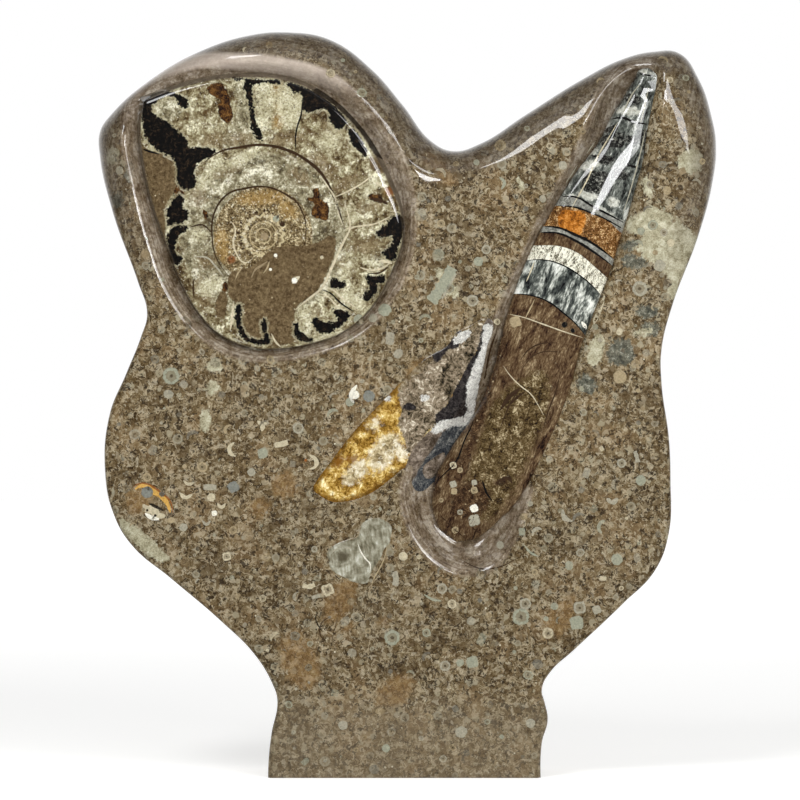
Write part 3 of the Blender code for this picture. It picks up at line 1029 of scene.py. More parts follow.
# %% ammonite marks
BLACK_CALCITE = [
    [(-88.5, 225.6), (-80.8, 229.6), (-77.4, 228.6), (-72.7, 224.2), (-74.4, 223.2),
     (-78.1, 227.3), (-81.4, 226.9), (-84.4, 224.9), (-84.4, 221.6), (-80.8, 219.6),
     (-78.1, 217.2), (-73.7, 213.2), (-72.7, 210.5), (-69.0, 210.5), (-64.0, 209.2),
     (-64.7, 207.8), (-69.0, 205.5), (-71.1, 202.5), (-70.4, 198.1), (-72.4, 196.5),
     (-75.7, 197.1), (-76.7, 198.8), (-77.1, 204.2), (-77.8, 206.2), (-82.8, 209.2),
     (-86.8, 212.5), (-87.8, 215.9), (-88.8, 222.6)],
    [(-78.4, 192.8), (-76.7, 194.5), (-74.7, 193.8), (-74.7, 190.1), (-73.1, 189.1),
     (-73.1, 187.1), (-74.1, 185.4), (-76.7, 185.1), (-79.4, 184.4), (-80.1, 186.4),
     (-80.1, 189.4)],
    [(-80.1, 181.7), (-78.4, 183.8), (-75.4, 184.4), (-73.1, 183.8), (-74.1, 182.4),
     (-76.4, 180.7), (-77.1, 178.7), (-77.4, 176.1), (-76.7, 174.7), (-75.1, 174.0),
     (-75.4, 172.4), (-76.7, 171.4), (-78.4, 171.7), (-79.4, 174.7), (-80.1, 178.4)],
    [(-56.7, 158.0), (-55.7, 158.0), (-55.3, 151.6), (-53.3, 147.6), (-48.6, 146.6),
     (-48.6, 152.3), (-47.6, 153.0), (-47.0, 148.9), (-45.6, 145.6), (-50.0, 144.6),
     (-54.3, 146.3), (-56.7, 149.9)],
    [(-58.7, 233.6), (-54.3, 233.6), (-47.6, 233.0), (-42.3, 232.3), (-42.6, 231.6),
     (-47.3, 231.9), (-52.0, 231.3), (-54.3, 232.6), (-58.3, 233.0)],
    [(-39.9, 231.9), (-36.6, 231.3), (-32.6, 229.9), (-29.6, 228.6), (-25.9, 225.9),
     (-21.5, 221.6), (-20.5, 219.6), (-21.9, 216.9), (-24.2, 216.9), (-26.2, 219.9),
     (-25.9, 221.9), (-28.9, 222.9), (-31.9, 222.2), (-34.6, 222.6), (-35.2, 224.9),
     (-35.6, 228.6), (-37.3, 228.6), (-39.3, 230.6)],
    [(-19.2, 216.9), (-17.2, 215.9), (-14.2, 210.9), (-13.5, 207.2), (-16.5, 209.5),
     (-18.5, 211.2), (-19.2, 213.9)],
    [(-4.8, 187.4), (-2.4, 188.1), (-1.1, 185.1), (-1.4, 181.7), (-2.8, 177.7), (-4.8, 172.7),
     (-6.5, 173.4), (-8.5, 175.0), (-6.5, 176.7), (-4.8, 179.7), (-5.8, 181.1), (-8.1, 180.4),
     (-10.5, 181.1), (-9.8, 182.7), (-6.5, 185.4)],
    [(-14.2, 168.0), (-11.5, 167.7), (-7.8, 167.7), (-7.5, 166.0), (-9.8, 164.7),
     (-10.1, 162.0), (-12.5, 159.7), (-14.2, 159.3), (-14.8, 160.3), (-12.8, 163.3),
     (-13.5, 165.7)],
    [(-25.9, 165.7), (-24.5, 167.0), (-22.5, 166.0), (-20.5, 165.7), (-21.5, 163.7),
     (-24.2, 163.3), (-25.5, 163.7)],
    [(-24.5, 156.6), (-22.9, 156.6), (-18.8, 154.3), (-20.2, 152.6), (-23.9, 149.6),
     (-26.9, 148.3), (-29.6, 148.9), (-31.6, 151.3), (-30.9, 154.0), (-29.2, 153.0),
     (-26.9, 152.0), (-23.5, 153.6), (-24.9, 155.3)],
    [(-37.6, 151.6), (-36.6, 152.0), (-35.6, 149.3), (-32.9, 147.3), (-31.2, 146.6),
     (-34.6, 145.6), (-36.9, 146.9)],
    [(-54.0, 232.6), (-52.3, 231.6), (-51.6, 227.9), (-51.0, 222.9), (-50.0, 218.2),
     (-48.3, 214.2), (-48.6, 212.5), (-50.3, 213.5), (-52.0, 216.6), (-52.6, 222.9),
     (-53.7, 226.9)],
    [(-29.9, 230.6), (-21.9, 227.9), (-17.2, 224.6), (-12.5, 218.2), (-8.5, 211.2),
     (-7.1, 207.2), (-10.1, 207.5), (-13.8, 213.2), (-18.2, 218.6), (-22.5, 222.9),
     (-26.5, 225.9), (-31.9, 228.6)],
]
UMBER_CHAMBERS = [
    [(-66.7, 230.3), (-64.7, 231.6), (-62.0, 231.9), (-60.3, 229.6), (-59.3, 227.3),
     (-58.7, 224.2), (-58.3, 219.9), (-60.0, 218.6), (-61.7, 219.6), (-63.0, 222.2),
     (-63.0, 224.2), (-62.4, 226.3), (-64.0, 226.9), (-66.0, 228.6)],
    [(-31.2, 196.8), (-29.6, 196.5), (-29.2, 193.5), (-26.5, 191.4), (-26.2, 188.8),
     (-27.2, 185.8), (-28.9, 186.4), (-31.2, 187.1), (-31.9, 189.4), (-31.2, 192.1),
     (-33.9, 193.1), (-33.2, 193.8), (-31.6, 193.5)],
    oval((-10.5, 193.5), 5.5, 2.5, -20), oval((-76.1, 195.8), 5.0, 4.0, 80),
    oval((-67.4, 188.1), 1.5, 4.0, 10), oval((-60.7, 163.7), 2.0, 4.0, 0),
]
GOLD_CALCITE = [
    [(-45.6, 231.9), (-42.3, 231.9), (-41.6, 226.3), (-41.3, 221.2), (-41.6, 217.2),
     (-44.3, 217.2), (-45.0, 222.9), (-45.3, 227.9)],
    oval((-48.6, 193.5), 16.0, 4.6, 4), oval((-39.9, 189.8), 8.0, 4.6, -48),
    oval((-61.7, 177.7), 4.6, 11.0, 8), oval((-5.8, 195.8), 3.6, 3.2, 0),
]
RUST_SPOTS = [oval((-5.8, 195.8), 3.0, 2.8, 0), oval((-58.7, 173.0), 3.0, 2.6, 0)]
CREAM_CALCITE = [
    [(-51.3, 230.6), (-45.6, 231.9), (-45.3, 219.6), (-48.6, 218.6), (-50.3, 226.3)],
    [(-41.3, 231.6), (-35.9, 228.6), (-35.2, 225.3), (-36.9, 217.9), (-40.9, 217.6)],
    oval((-25.9, 212.9), 9.0, 5.5, 40), oval((-11.5, 197.1), 8.0, 3.4, 38),
    oval((-11.1, 172.0), 7.0, 3.0, -12), oval((-18.5, 159.7), 9.0, 5.5, -20),
    oval((-33.9, 153.0), 3.6, 11.0, 12), oval((-25.9, 146.9), 12.0, 2.4, 14),
    oval((-65.7, 164.0), 8.5, 6.0, 20), oval((-69.7, 181.4), 5.5, 4.6, 0),
    oval((-18.5, 188.1), 3.0, 7.0, 10), oval((-67.7, 199.8), 9.0, 4.0, 60),
    oval((-57.3, 205.8), 18.0, 3.2, 22), oval((-20.9, 169.4), 7.0, 4.0, 60),
]
GREY_CALCITE = [
    [(-84.8, 224.2), (-81.8, 226.3), (-78.1, 226.3), (-75.7, 224.9), (-74.4, 223.2),
     (-75.7, 221.2), (-78.1, 219.6), (-81.4, 219.6), (-83.4, 221.6)],
    [(-57.3, 231.6), (-54.7, 231.9), (-52.6, 222.6), (-50.6, 213.9), (-56.0, 210.5),
     (-61.0, 209.9), (-57.7, 219.2), (-56.7, 225.3)],
    oval((-31.9, 176.4), 8.0, 22.0, -8), oval((-48.6, 201.8), 24.0, 5.0, 2),
    oval((-29.9, 203.2), 10.0, 6.0, -50),
]
SEDIMENT_FILL = [
    [(-59.0, 168.4), (-55.0, 169.7), (-50.6, 171.7), (-46.0, 175.7), (-41.9, 177.4),
     (-34.2, 177.7), (-29.9, 178.7), (-24.9, 180.7), (-23.9, 176.4), (-25.9, 171.0),
     (-28.5, 165.0), (-31.9, 160.7), (-36.9, 157.0), (-37.6, 152.3), (-36.9, 146.6),
     (-40.6, 144.6), (-46.0, 144.3), (-52.0, 145.3), (-55.0, 150.3), (-56.0, 157.6),
     (-58.7, 159.7), (-59.7, 163.0)],
    [(-88.5, 210.5), (-85.4, 209.2), (-82.1, 208.5), (-77.8, 205.5), (-76.7, 198.8),
     (-78.8, 194.1), (-80.1, 189.8), (-80.1, 178.1), (-78.4, 172.4), (-76.4, 165.7),
     (-78.8, 169.7), (-82.8, 181.4), (-87.5, 193.1), (-90.1, 206.5)],
    oval((-9.8, 204.8), 7.0, 5.0, -50), oval((-62.0, 158.0), 4.0, 9.0, -10),
]
TAN_CREVICES = [
    oval((-28.5, 204.5), 11.0, 6.0, -40), oval((-20.2, 198.5), 10.0, 4.6, 30),
    oval((-13.8, 190.4), 11.0, 3.6, 6), oval((-14.5, 177.7), 11.0, 5.0, 12),
    oval((-64.7, 212.5), 9.0, 5.0, 15), oval((-40.6, 213.2), 14.0, 3.6, 4),
    oval((-67.7, 162.3), 8.0, 11.0, 0), oval((-25.2, 216.2), 8.0, 4.0, -30),
    oval((-56.0, 213.2), 10.0, 4.0, 10), oval((-20.9, 170.4), 8.0, 4.0, -30),
    oval((-69.4, 194.5), 5.0, 8.0, 0), oval((-60.0, 202.5), 10.0, 3.0, 20),
    oval((-35.9, 200.5), 9.0, 4.0, -35), oval((-66.7, 172.4), 6.0, 5.0, 0),
    oval((-29.9, 154.3), 3.0, 6.0, 0),
]


def paint_ammonite():
    points = surface_points(ammonite)[:, [0, 2]]
    for name, marks in [
        ("black", BLACK_CALCITE), ("umber", UMBER_CHAMBERS), ("gold", GOLD_CALCITE),
        ("rust", RUST_SPOTS), ("cream", CREAM_CALCITE), ("grey", GREY_CALCITE),
        ("sediment", SEDIMENT_FILL), ("tan", TAN_CREVICES),
    ]:
        store(ammonite, name, mark_distance(points, marks))
    out = points - SPIRAL_CENTRE
    reach = reach_at(np.arctan2(out[:, 1], out[:, 0]))
    store(ammonite, "past_shoulder", np.linalg.norm(out, axis=1) - reach)


paint_ammonite()
print(len(ammonite.data.attributes), "layers stored on the ammonite")

# %% [markdown]
# ## Crystal, whorl by whorl
# Calcite that grew in a hollow is cloudy, with cracks and creases where crystals met. The
# turns of the coil differ: golden and frilled in the middle, grey further out, and cream at
# the rim. The distance from the middle of the coil picks the turn, the stored marks pick the
# fill, and noise of several sizes makes the clouds.

# %% ammonite finish
GOLD_WHORL = 16.4               # radius where the innermost, golden turns end
PALE_WHORL = 27.5               # radius where the next, greyer turn ends
FRILL_AT = 6.5                  # radius of the frilled suture round the middle


def ammonite_finish():
    finish = Finish("ammonite_calcite")
    place = finish.place()
    x, _, z = finish.parts(place)
    x, z = x - SPIRAL_CENTRE[0], z - SPIRAL_CENTRE[1]
    radius = finish.math("SQRT", x * x + z * z)
    angle = finish.math("ARCTAN2", z, x)
    ragged = finish.noise(place, 1.5, detail=4.0, roughness=0.7) - 0.5
    frayed = finish.noise(place, 0.55, detail=2.0, roughness=0.7) - 0.5

    colour = finish.mottle(finish.warped(place, 2.0, 1.5), 5.0, [
        (52, 38, 20), (98, 83, 55), (138, 128, 97), (174, 168, 137), (234, 230, 202),
    ], grain=0.35, spread=0.11)
    rusty = finish.noise(finish.shifted(place, (9.0, 4.0, 2.0)), 3.0, detail=5.0, roughness=0.72)
    colour = finish.mix(colour, chart(84, 62, 35), finish.ramp(rusty, 0.54, 0.64) * 0.75)
    tan = finish.mottle(place, 2.6, [(70, 55, 34), (104, 87, 59), (130, 114, 84), (166, 152, 120)])
    grey = finish.mottle(finish.warped(place, 2.0, 1.5), 4.0, [
        (70, 62, 45), (112, 104, 79), (143, 136, 109), (172, 166, 139), (230, 226, 204),
    ], grain=0.35, spread=0.10)
    greyed = finish.math("MAXIMUM", finish.edged("grey", ragged * 4.0, soft=0.6),
                         finish.ramp(radius + ragged * 3.0, PALE_WHORL + 1, PALE_WHORL - 1) * 0.85)
    colour = finish.mix(colour, grey, greyed)
    colour = finish.mark(colour, "tan", tan, ragged * 9.0, soft=1.4, strength=0.8)
    golden = finish.mottle(place, 2.4, [(52, 38, 20), (95, 78, 50), (122, 106, 74),
                                        (150, 134, 100), (216, 204, 168)], grain=0.55, spread=0.105)
    colour = finish.mix(colour, golden, finish.ramp(radius, GOLD_WHORL + 0.2, GOLD_WHORL - 0.2))
    orange = finish.mottle(place, 1.8, [(104, 74, 32), (156, 124, 68), (202, 176, 120)], grain=0.6)
    colour = finish.mark(colour, "gold", orange, ragged * 7.0, soft=1.4, strength=0.65)
    bright = finish.mottle(place, 3.0, [(120, 111, 80), (172, 165, 132), (204, 199, 168),
                                        (240, 237, 214)], grain=0.45)
    colour = finish.mark(colour, "cream", bright, ragged * 9.0, soft=1.1, strength=0.85)
    colour = finish.mark(colour, "rust", chart(124, 80, 44), ragged * 2.0, soft=0.4)

    # cracks between crystals, dark pits and bright glints
    facets = finish.cells(finish.warped(place, 0.8, 0.8), 1.9, feature="DISTANCE_TO_EDGE")
    cracked = finish.ramp(facets, 0.075, 0.0) * finish.ramp(ragged, -0.04, 0.1)
    colour = finish.mix(colour, chart(88, 70, 44), cracked * finish.ramp(radius, 14.0, 18.0) * 0.75)
    pits = finish.noise(finish.shifted(place, (2.0, 8.0, 6.0)), 0.9, detail=3.0, roughness=0.7)
    colour = finish.mix(colour, chart(60, 45, 26), finish.ramp(pits, 0.58, 0.66) * 0.8)
    colour = finish.mix(colour, chart(246, 243, 224), finish.ramp(pits, 0.40, 0.33) * 0.6)

    # the middle of the coil: a frilled ring, dots and the first turns
    frill = radius - FRILL_AT - finish.math("SINE", angle * 17.0) * 0.4 - frayed * 0.8
    pale_ring = finish.ramp(finish.math("ABSOLUTE", frill), 0.55, 0.3)
    dots, (dark, _, _) = finish.cells(place, 1.1)
    middle = finish.ramp(radius, 9.5, 8.5)
    colour = finish.mix(colour, chart(58, 44, 26), finish.ramp(dots, 0.34, 0.22)
                        * finish.ramp(dark, 0.55, 0.6) * finish.ramp(radius, 16.0, 14.5) * 0.8)
    colour = finish.mix(colour, chart(194, 180, 142), pale_ring * middle * 0.8)
    for ring, width, tint in [(1.7, 0.22, (104, 90, 62)), (2.5, 0.3, (182, 168, 132)),
                              (3.4, 0.22, (88, 74, 50)), (4.5, 0.28, (176, 160, 122)),
                              (5.2, 0.2, (84, 70, 46))]:
        line = finish.ramp(finish.math("ABSOLUTE", radius - ring + ragged * 0.7), width, width * 0.4)
        colour = finish.mix(colour, chart(*tint), line * 0.8)

    # fills that end sharply
    umber = finish.mottle(place, 1.6, [(22, 13, 8), (44, 27, 14), (84, 54, 24), (128, 92, 46)],
                          spread=0.11)
    colour = finish.mark(colour, "umber", umber, ragged * 2.0)
    mud = finish.mottle(place, 1.1, [(52, 38, 22), (84, 68, 45), (106, 89, 62), (136, 119, 89)])
    mud = grains(finish, place, mud, 1.5, 0.16, 0.2, [(226, 216, 186), (176, 162, 130)])
    colour = finish.mark(colour, "sediment", mud, ragged * 1.2 + frayed)
    beside_black = finish.edged("black", ragged * 3.5 + frayed * 2.0 + 0.7)
    colour = finish.mix(colour, bright, beside_black * 0.45)
    black = finish.mottle(place, 1.2, [(5, 4, 4), (8, 7, 6), (16, 13, 10), (48, 36, 24)],
                          spread=0.11)
    colour = finish.mark(colour, "black", black, ragged * 3.2 + frayed * 2.4)

    # the flank, outside the shoulder
    skin = finish.mottle(place, 2.6, [(70, 60, 48), (98, 87, 72), (122, 111, 95)])
    skin = finish.mark(skin, "black", black, ragged * 1.5)
    colour = finish.mix(colour, skin, finish.ramp(finish.grown("past_shoulder"), 0.0, 0.4))
    return finish.finish(colour, height=frayed)


ammonite.data.materials.append(ammonite_finish())
print(len(ammonite.data.materials[0].node_tree.nodes), "nodes in the ammonite's finish")

# %% [markdown]
# ## The orthoceras
# Its shell is a long cone that was divided into chambers by bowed walls. The animal lived in the
# last, open chamber, which later filled with brown mud; the closed chambers filled with clear,
# white and orange crystal instead. The mesh is laid along the ship-like stations: rows run
# across, columns run along.

# %% orthoceras mesh
SHELL_COLUMNS = 72              # columns of its mesh from side to side
ROUNDNESS = 0.27                # 0.5 makes an elliptical cross section, less a flatter crest
SIDES_SUNK = 0.8                # how far its sides run into the ground stone

shell_reach = shell_across * shell_half_width[:, None]
left_side = relief_depth(shell_middle - shell_reach) + SIDES_SUNK
right_side = relief_depth(shell_middle + shell_reach) + SIDES_SUNK


def shell_drop(row, across):
    """Depth of the orthoceras's surface at a row, across from -1 (left) to 1 (right)."""
    side = np.where(across < 0, left_side[row], right_side[row])
    fall = 1 - np.maximum(1 - across ** 2, 0) ** ROUNDNESS
    return shell_crest[row] + (side - shell_crest[row]) * fall


def orthoceras_depth(points):
    """How far the orthoceras's surface lies behind the front plane."""
    row = nearest_row(points)
    offset = ((points - shell_middle[row]) * shell_across[row]).sum(axis=1)
    return shell_drop(row, np.clip(offset / np.maximum(shell_half_width[row], 0.1), -1, 1))


def build_orthoceras():
    across = np.sin(np.linspace(-math.pi / 2, math.pi / 2, SHELL_COLUMNS))
    row = np.repeat(np.arange(SHELL_ROWS), SHELL_COLUMNS)
    u = np.tile(across, SHELL_ROWS)
    flat = shell_middle[row] + shell_across[row] * (shell_half_width[row] * u)[:, None]
    top = np.column_stack([flat[:, 0], FACE_Y + shell_drop(row, u), flat[:, 1]])
    half = len(top)
    rims = top.reshape(SHELL_ROWS, SHELL_COLUMNS, 3)[:, [0, -1]].reshape(-1, 3).copy()
    rims[:, 1] = FACE_Y + SHELL_COVE + 3.5      # its flat underside, deep in the stone
    faces = []
    for r in range(SHELL_ROWS - 1):
        a, b = r * SHELL_COLUMNS, (r + 1) * SHELL_COLUMNS
        faces += [(a + c, a + c + 1, b + c + 1, b + c) for c in range(SHELL_COLUMNS - 1)]
        c = SHELL_COLUMNS - 1
        under, below = half + 2 * r, half + 2 * r + 2
        faces += [(a, b, below, under), (a + c, under + 1, below + 1, b + c),
                  (under, below, below + 1, under + 1)]
    for r in (0, SHELL_ROWS - 1):
        end = [r * SHELL_COLUMNS + c for c in range(SHELL_COLUMNS)]
        faces.append(tuple(end + [half + 2 * r + 1, half + 2 * r]))
    return add_mesh("orthoceras", np.vstack([top, rims]), faces, sharp_above=75.0)


orthoceras = build_orthoceras()
print("orthoceras:", len(orthoceras.data.polygons), "faces")

# %% [markdown]
# The chamber walls (septa) cross the shell as bowed lines. Each is a knot list from the left
# edge to the right, and the coloured bands are the areas between two of them.

# %% orthoceras marks
SEPTA = {
    "cap": [(75.2, 236.3), (77.5, 235.3), (80.9, 234.6), (84.6, 234.3)],
    "first": [(64.5, 220.2), (67.2, 220.0), (71.9, 220.4), (75.5, 219.0), (80.6, 218.2),
        (84.6, 217.2)],
    "grey end": [(47.8, 194.5), (51.4, 194.2), (56.3, 193.8), (61.8, 190.7), (68.5, 187.3),
        (75.2, 183.8)],
    "orange top": [(47.1, 191.4), (50.1, 191.0), (55.6, 190.5), (61.1, 188.6), (65.8, 186.6),
        (74.5, 181.7)],
    "orange end": [(42.4, 184.6), (45.4, 184.2), (50.8, 183.5), (55.6, 181.4), (60.5, 179.1),
        (69.2, 173.0), (71.9, 171.0)],
    "brown top": [(41.7, 182.4), (44.7, 182.1), (50.1, 181.8), (56.3, 179.1), (61.8, 175.7),
        (68.5, 170.9), (71.2, 168.7)],
    "cream top": [(39.1, 177.7), (42.1, 177.7), (48.1, 177.7), (52.1, 177.1), (57.0, 175.0),
        (62.5, 170.5), (66.5, 167.0), (69.2, 164.3)],
    "marble top": [(37.1, 172.9), (40.4, 172.9), (45.4, 172.9), (50.8, 171.5), (57.7, 167.5),
        (63.2, 162.7), (64.8, 160.7), (67.5, 157.0)],
    "mud top": [(31.7, 162.0), (35.0, 161.7), (41.3, 161.0), (46.8, 159.0), (52.1, 155.1),
        (56.3, 151.4), (59.4, 147.6), (61.8, 143.9)],
}


def between(first, second):
    """A mark that covers the shell from one septum to another."""
    return [SEPTA[first] + SEPTA[second][::-1]]


GREY_CHAMBERS = [[(73.9, 240.0), (85.9, 240.0)] + SEPTA["grey end"][::-1]]
BLACK_CHAMBERS = [
    [(65.8, 214.5), (68.5, 215.2), (71.9, 215.2), (71.9, 210.5), (68.8, 210.5), (65.2, 210.9)],
    [(63.2, 207.2), (66.5, 207.5), (69.2, 206.8), (68.5, 205.2), (63.5, 205.8)],
    [(59.5, 201.8), (63.2, 202.5), (66.5, 201.8), (65.8, 195.8), (62.5, 195.1), (58.5, 196.5)],
    [(79.2, 216.6), (81.2, 216.2), (79.9, 209.2), (78.2, 209.9)], oval((75.2, 226.6), 3.4, 6.0, 70),
    oval((68.2, 216.6), 5.0, 2.4, 20), oval((71.2, 201.5), 3.6, 5.0, 60),
    oval((74.5, 213.2), 2.6, 4.6, 60),
]
PALE_CHAMBERS = [
    oval((61.1, 209.5), 4.4, 2.6, 0), oval((60.5, 204.5), 7.4, 3.0, 10),
    oval((60.1, 194.5), 6.6, 3.0, -15), oval((73.9, 222.6), 8.0, 3.0, -5),
    oval((54.8, 193.1), 4.6, 3.0, 0), oval((78.9, 236.0), 4.8, 1.6, -8),
    oval((57.8, 191.4), 9.0, 2.4, -20), oval((65.5, 188.4), 9.0, 2.4, -28),
    oval((68.8, 192.1), 3.0, 4.0, 60),
]
ORANGE_HEART = [[(51.1, 189.1), (55.1, 189.4), (59.5, 187.4), (58.8, 183.8), (57.1, 180.7),
 (51.8, 182.1), (50.4, 185.1)]]
BROWN_PATCHES = [
    [(21.0, 102.8), (24.3, 116.1), (29.7, 126.2), (37.7, 132.9), (44.4, 135.6), (47.1, 126.2),
     (43.1, 112.8), (38.4, 102.8), (33.0, 92.7), (26.3, 86.0), (20.3, 89.4), (18.3, 95.4)],
]
DARK_MUD = [
    [(23.7, 139.6), (27.7, 146.3), (32.0, 149.6), (31.0, 140.9), (28.3, 128.9), (24.3, 116.1),
     (21.0, 108.8), (17.6, 102.8), (15.0, 101.4), (20.3, 112.8), (22.3, 126.2)],
    oval((21.0, 92.7), 14.0, 12.0, 50), oval((31.0, 98.7), 5.0, 2.0, 10),
    oval((7.6, 95.4), 7.0, 4.0, 20),
]


def paint_orthoceras():
    points = surface_points(orthoceras)[:, [0, 2]]
    for name, marks in [
        ("grey", GREY_CHAMBERS), ("black", BLACK_CHAMBERS), ("pale", PALE_CHAMBERS),
        ("orange", between("orange top", "orange end")), ("heart", ORANGE_HEART),
        ("lined", between("grey end", "orange top") + between("orange end", "brown top")),
        ("cream", between("cream top", "marble top")),
        ("marbled", between("marble top", "mud top")),
        ("brown", BROWN_PATCHES), ("dark_mud", DARK_MUD),
    ]:
        store(orthoceras, name, mark_distance(points, marks))


paint_orthoceras()
print(len(SEPTA), "chamber walls drawn on the orthoceras")

# %% [markdown]
# ## Chambers of the orthoceras
# Grinding smeared nothing here: each chamber has its own crystal, cut off sharply by the next
# wall, and only inside a chamber do the colours run together. So the bands get hard edges,
# while the clouds in them are stretched lengthwise, as the crystals grew.

# %% orthoceras finish
def orthoceras_finish():
    finish = Finish("orthoceras_calcite")
    place = finish.place()
    ragged = finish.noise(place, 1.4, detail=4.0, roughness=0.7) - 0.5
    frayed = finish.noise(place, 0.5, detail=2.0, roughness=0.7) - 0.5

    x, _, z = finish.parts(place)
    lengthwise = finish.joined(x * 1.4 - z * 0.55, 0.0, x * 0.2 + z * 0.5)
    colour = finish.mottle(lengthwise, 4.0, [(26, 14, 7), (62, 42, 27), (88, 68, 46),
                                             (112, 92, 66), (160, 142, 112)],
                           grain=0.45, spread=0.13)
    colour = grains(finish, place, colour, 1.6, 0.12, 0.22, [(196, 178, 142), (60, 42, 26)])
    olive = finish.mottle(finish.warped(place, 2.5, 3.0), 3.2, [
        (14, 8, 2), (52, 38, 16), (84, 68, 38), (114, 97, 66), (190, 176, 142),
    ], grain=0.5, spread=0.12)
    olive = grains(finish, place, olive, 1.2, 0.16, 0.24, [(196, 182, 146), (30, 21, 9)])
    colour = finish.mark(colour, "brown", olive, ragged * 9.0, soft=1.6, strength=0.9)
    dark = finish.mottle(place, 1.5, [(16, 8, 4), (44, 27, 15), (72, 50, 31), (128, 104, 74)],
                         grain=0.5, spread=0.12)
    dark = grains(finish, place, dark, 1.3, 0.20, 0.28, [(206, 188, 150), (150, 126, 92)])
    colour = finish.mark(colour, "dark_mud", dark, ragged * 6.0, soft=1.0, strength=0.9)

    # the closed chambers, from the tip down
    grey = finish.mottle(lengthwise, 3.0, [(10, 10, 10), (48, 50, 47), (84, 88, 82),
                                           (122, 125, 118), (196, 198, 190)],
                         grain=0.35, spread=0.12)
    colour = finish.mark(colour, "grey", grey, 0.0, soft=0.08)
    bright = finish.mottle(place, 1.2, [(140, 138, 124), (196, 196, 184), (236, 236, 226)])
    colour = finish.mark(colour, "pale", bright, ragged * 5.0, soft=0.5, strength=0.85)
    black = finish.mottle(place, 1.0, [(8, 8, 8), (14, 14, 13), (40, 40, 36), (170, 170, 160)],
                          grain=0.5, spread=0.13)
    colour = finish.mark(colour, "black", black, ragged * 2.4, soft=0.3)

    amber = finish.mottle(place, 1.6, [(36, 22, 10), (92, 58, 26), (140, 98, 48), (232, 210, 162)],
                          grain=0.55, spread=0.12)
    colour = finish.mark(colour, "orange", amber, 0.0, soft=0.08)
    heart = finish.mottle(place, 2.2, [(84, 44, 12), (140, 82, 22), (182, 112, 36), (212, 156, 84)],
                          spread=0.12)
    colour = finish.mark(colour, "heart", heart, ragged * 2.0, soft=0.3)
    lined = finish.mottle(place, 1.1, [(54, 52, 48), (122, 122, 114), (186, 186, 176)], grain=0.5)
    colour = finish.mark(colour, "lined", lined, 0.0, soft=0.08)
    cream = finish.mottle(lengthwise, 1.8, [(20, 18, 14), (104, 98, 80), (208, 204, 184),
                                            (240, 238, 222), (242, 240, 224)], grain=0.5,
                          spread=0.11)
    colour = finish.mark(colour, "cream", cream, 0.0, soft=0.08)
    marble = finish.mottle(lengthwise, 5.0, [(18, 19, 20), (52, 56, 54), (96, 100, 94),
                                             (188, 191, 182), (232, 233, 226)],
                           grain=0.3, spread=0.12)
    colour = finish.mark(colour, "marbled", marble, 0.0, soft=0.08)
    return finish.finish(colour, height=frayed)


orthoceras.data.materials.append(orthoceras_finish())
print(len(orthoceras.data.materials[0].node_tree.nodes), "nodes in the orthoceras's finish")

# %% [markdown]
# ## Flush inlays
# Where a thin vein, a chamber wall or a bit of sea-lily stem meets the polished face it ends in
# a crisp line, finer than the meshes above could draw. Each is a sliver of its own that follows
# the surface it lies in, standing a twentieth of a millimetre proud, with its edges sunk.
# Discs are fans of rings, and strips follow a knot list. The ring number and a tone are stored
# on the points, so one finish can colour them all.

# %% inlay tools
PROUD = -0.05                   # how deep the top of an inlay lies: ahead of the surface
SUNK = 0.25                     # and its edges: below the surface
DISC_SIDES = 22                 # points round a disc
INLAY_TONES = {
    "black": (16, 14, 12), "umber": (54, 38, 24), "slate": (122, 126, 120), "rust": (140, 82, 34),
    "gold": (206, 160, 78), "buff": (142, 126, 98), "tan": (166, 150, 118),
    "green": (152, 155, 136), "grey": (162, 158, 140), "cream": (196, 186, 158),
    "white": (238, 235, 220), "smoke": (110, 108, 98),
}
TONE_ORDER = list(INLAY_TONES)
SHEET_PROUD = 0.09              # the thin sheets further down stand this much above the stone
sheet_lines = []                # and their outlines join this list


def surface_depth(points):
    """Depth of whatever is at the surface: stone, ammonite or orthoceras."""
    on_ammonite = inside_distance(points, ammonite_edge) > 0
    on_shell = inside_distance(points, shell_edge) > 0
    depth = relief_depth(points)
    for sheet in sheet_lines:
        depth -= SHEET_PROUD * blend(0.0, 0.3, inside_distance(points, sheet))
    depth[on_ammonite] = ammonite_depth(points[on_ammonite])
    if on_shell.any():
        depth[on_shell] = orthoceras_depth(points[on_shell])
    return depth


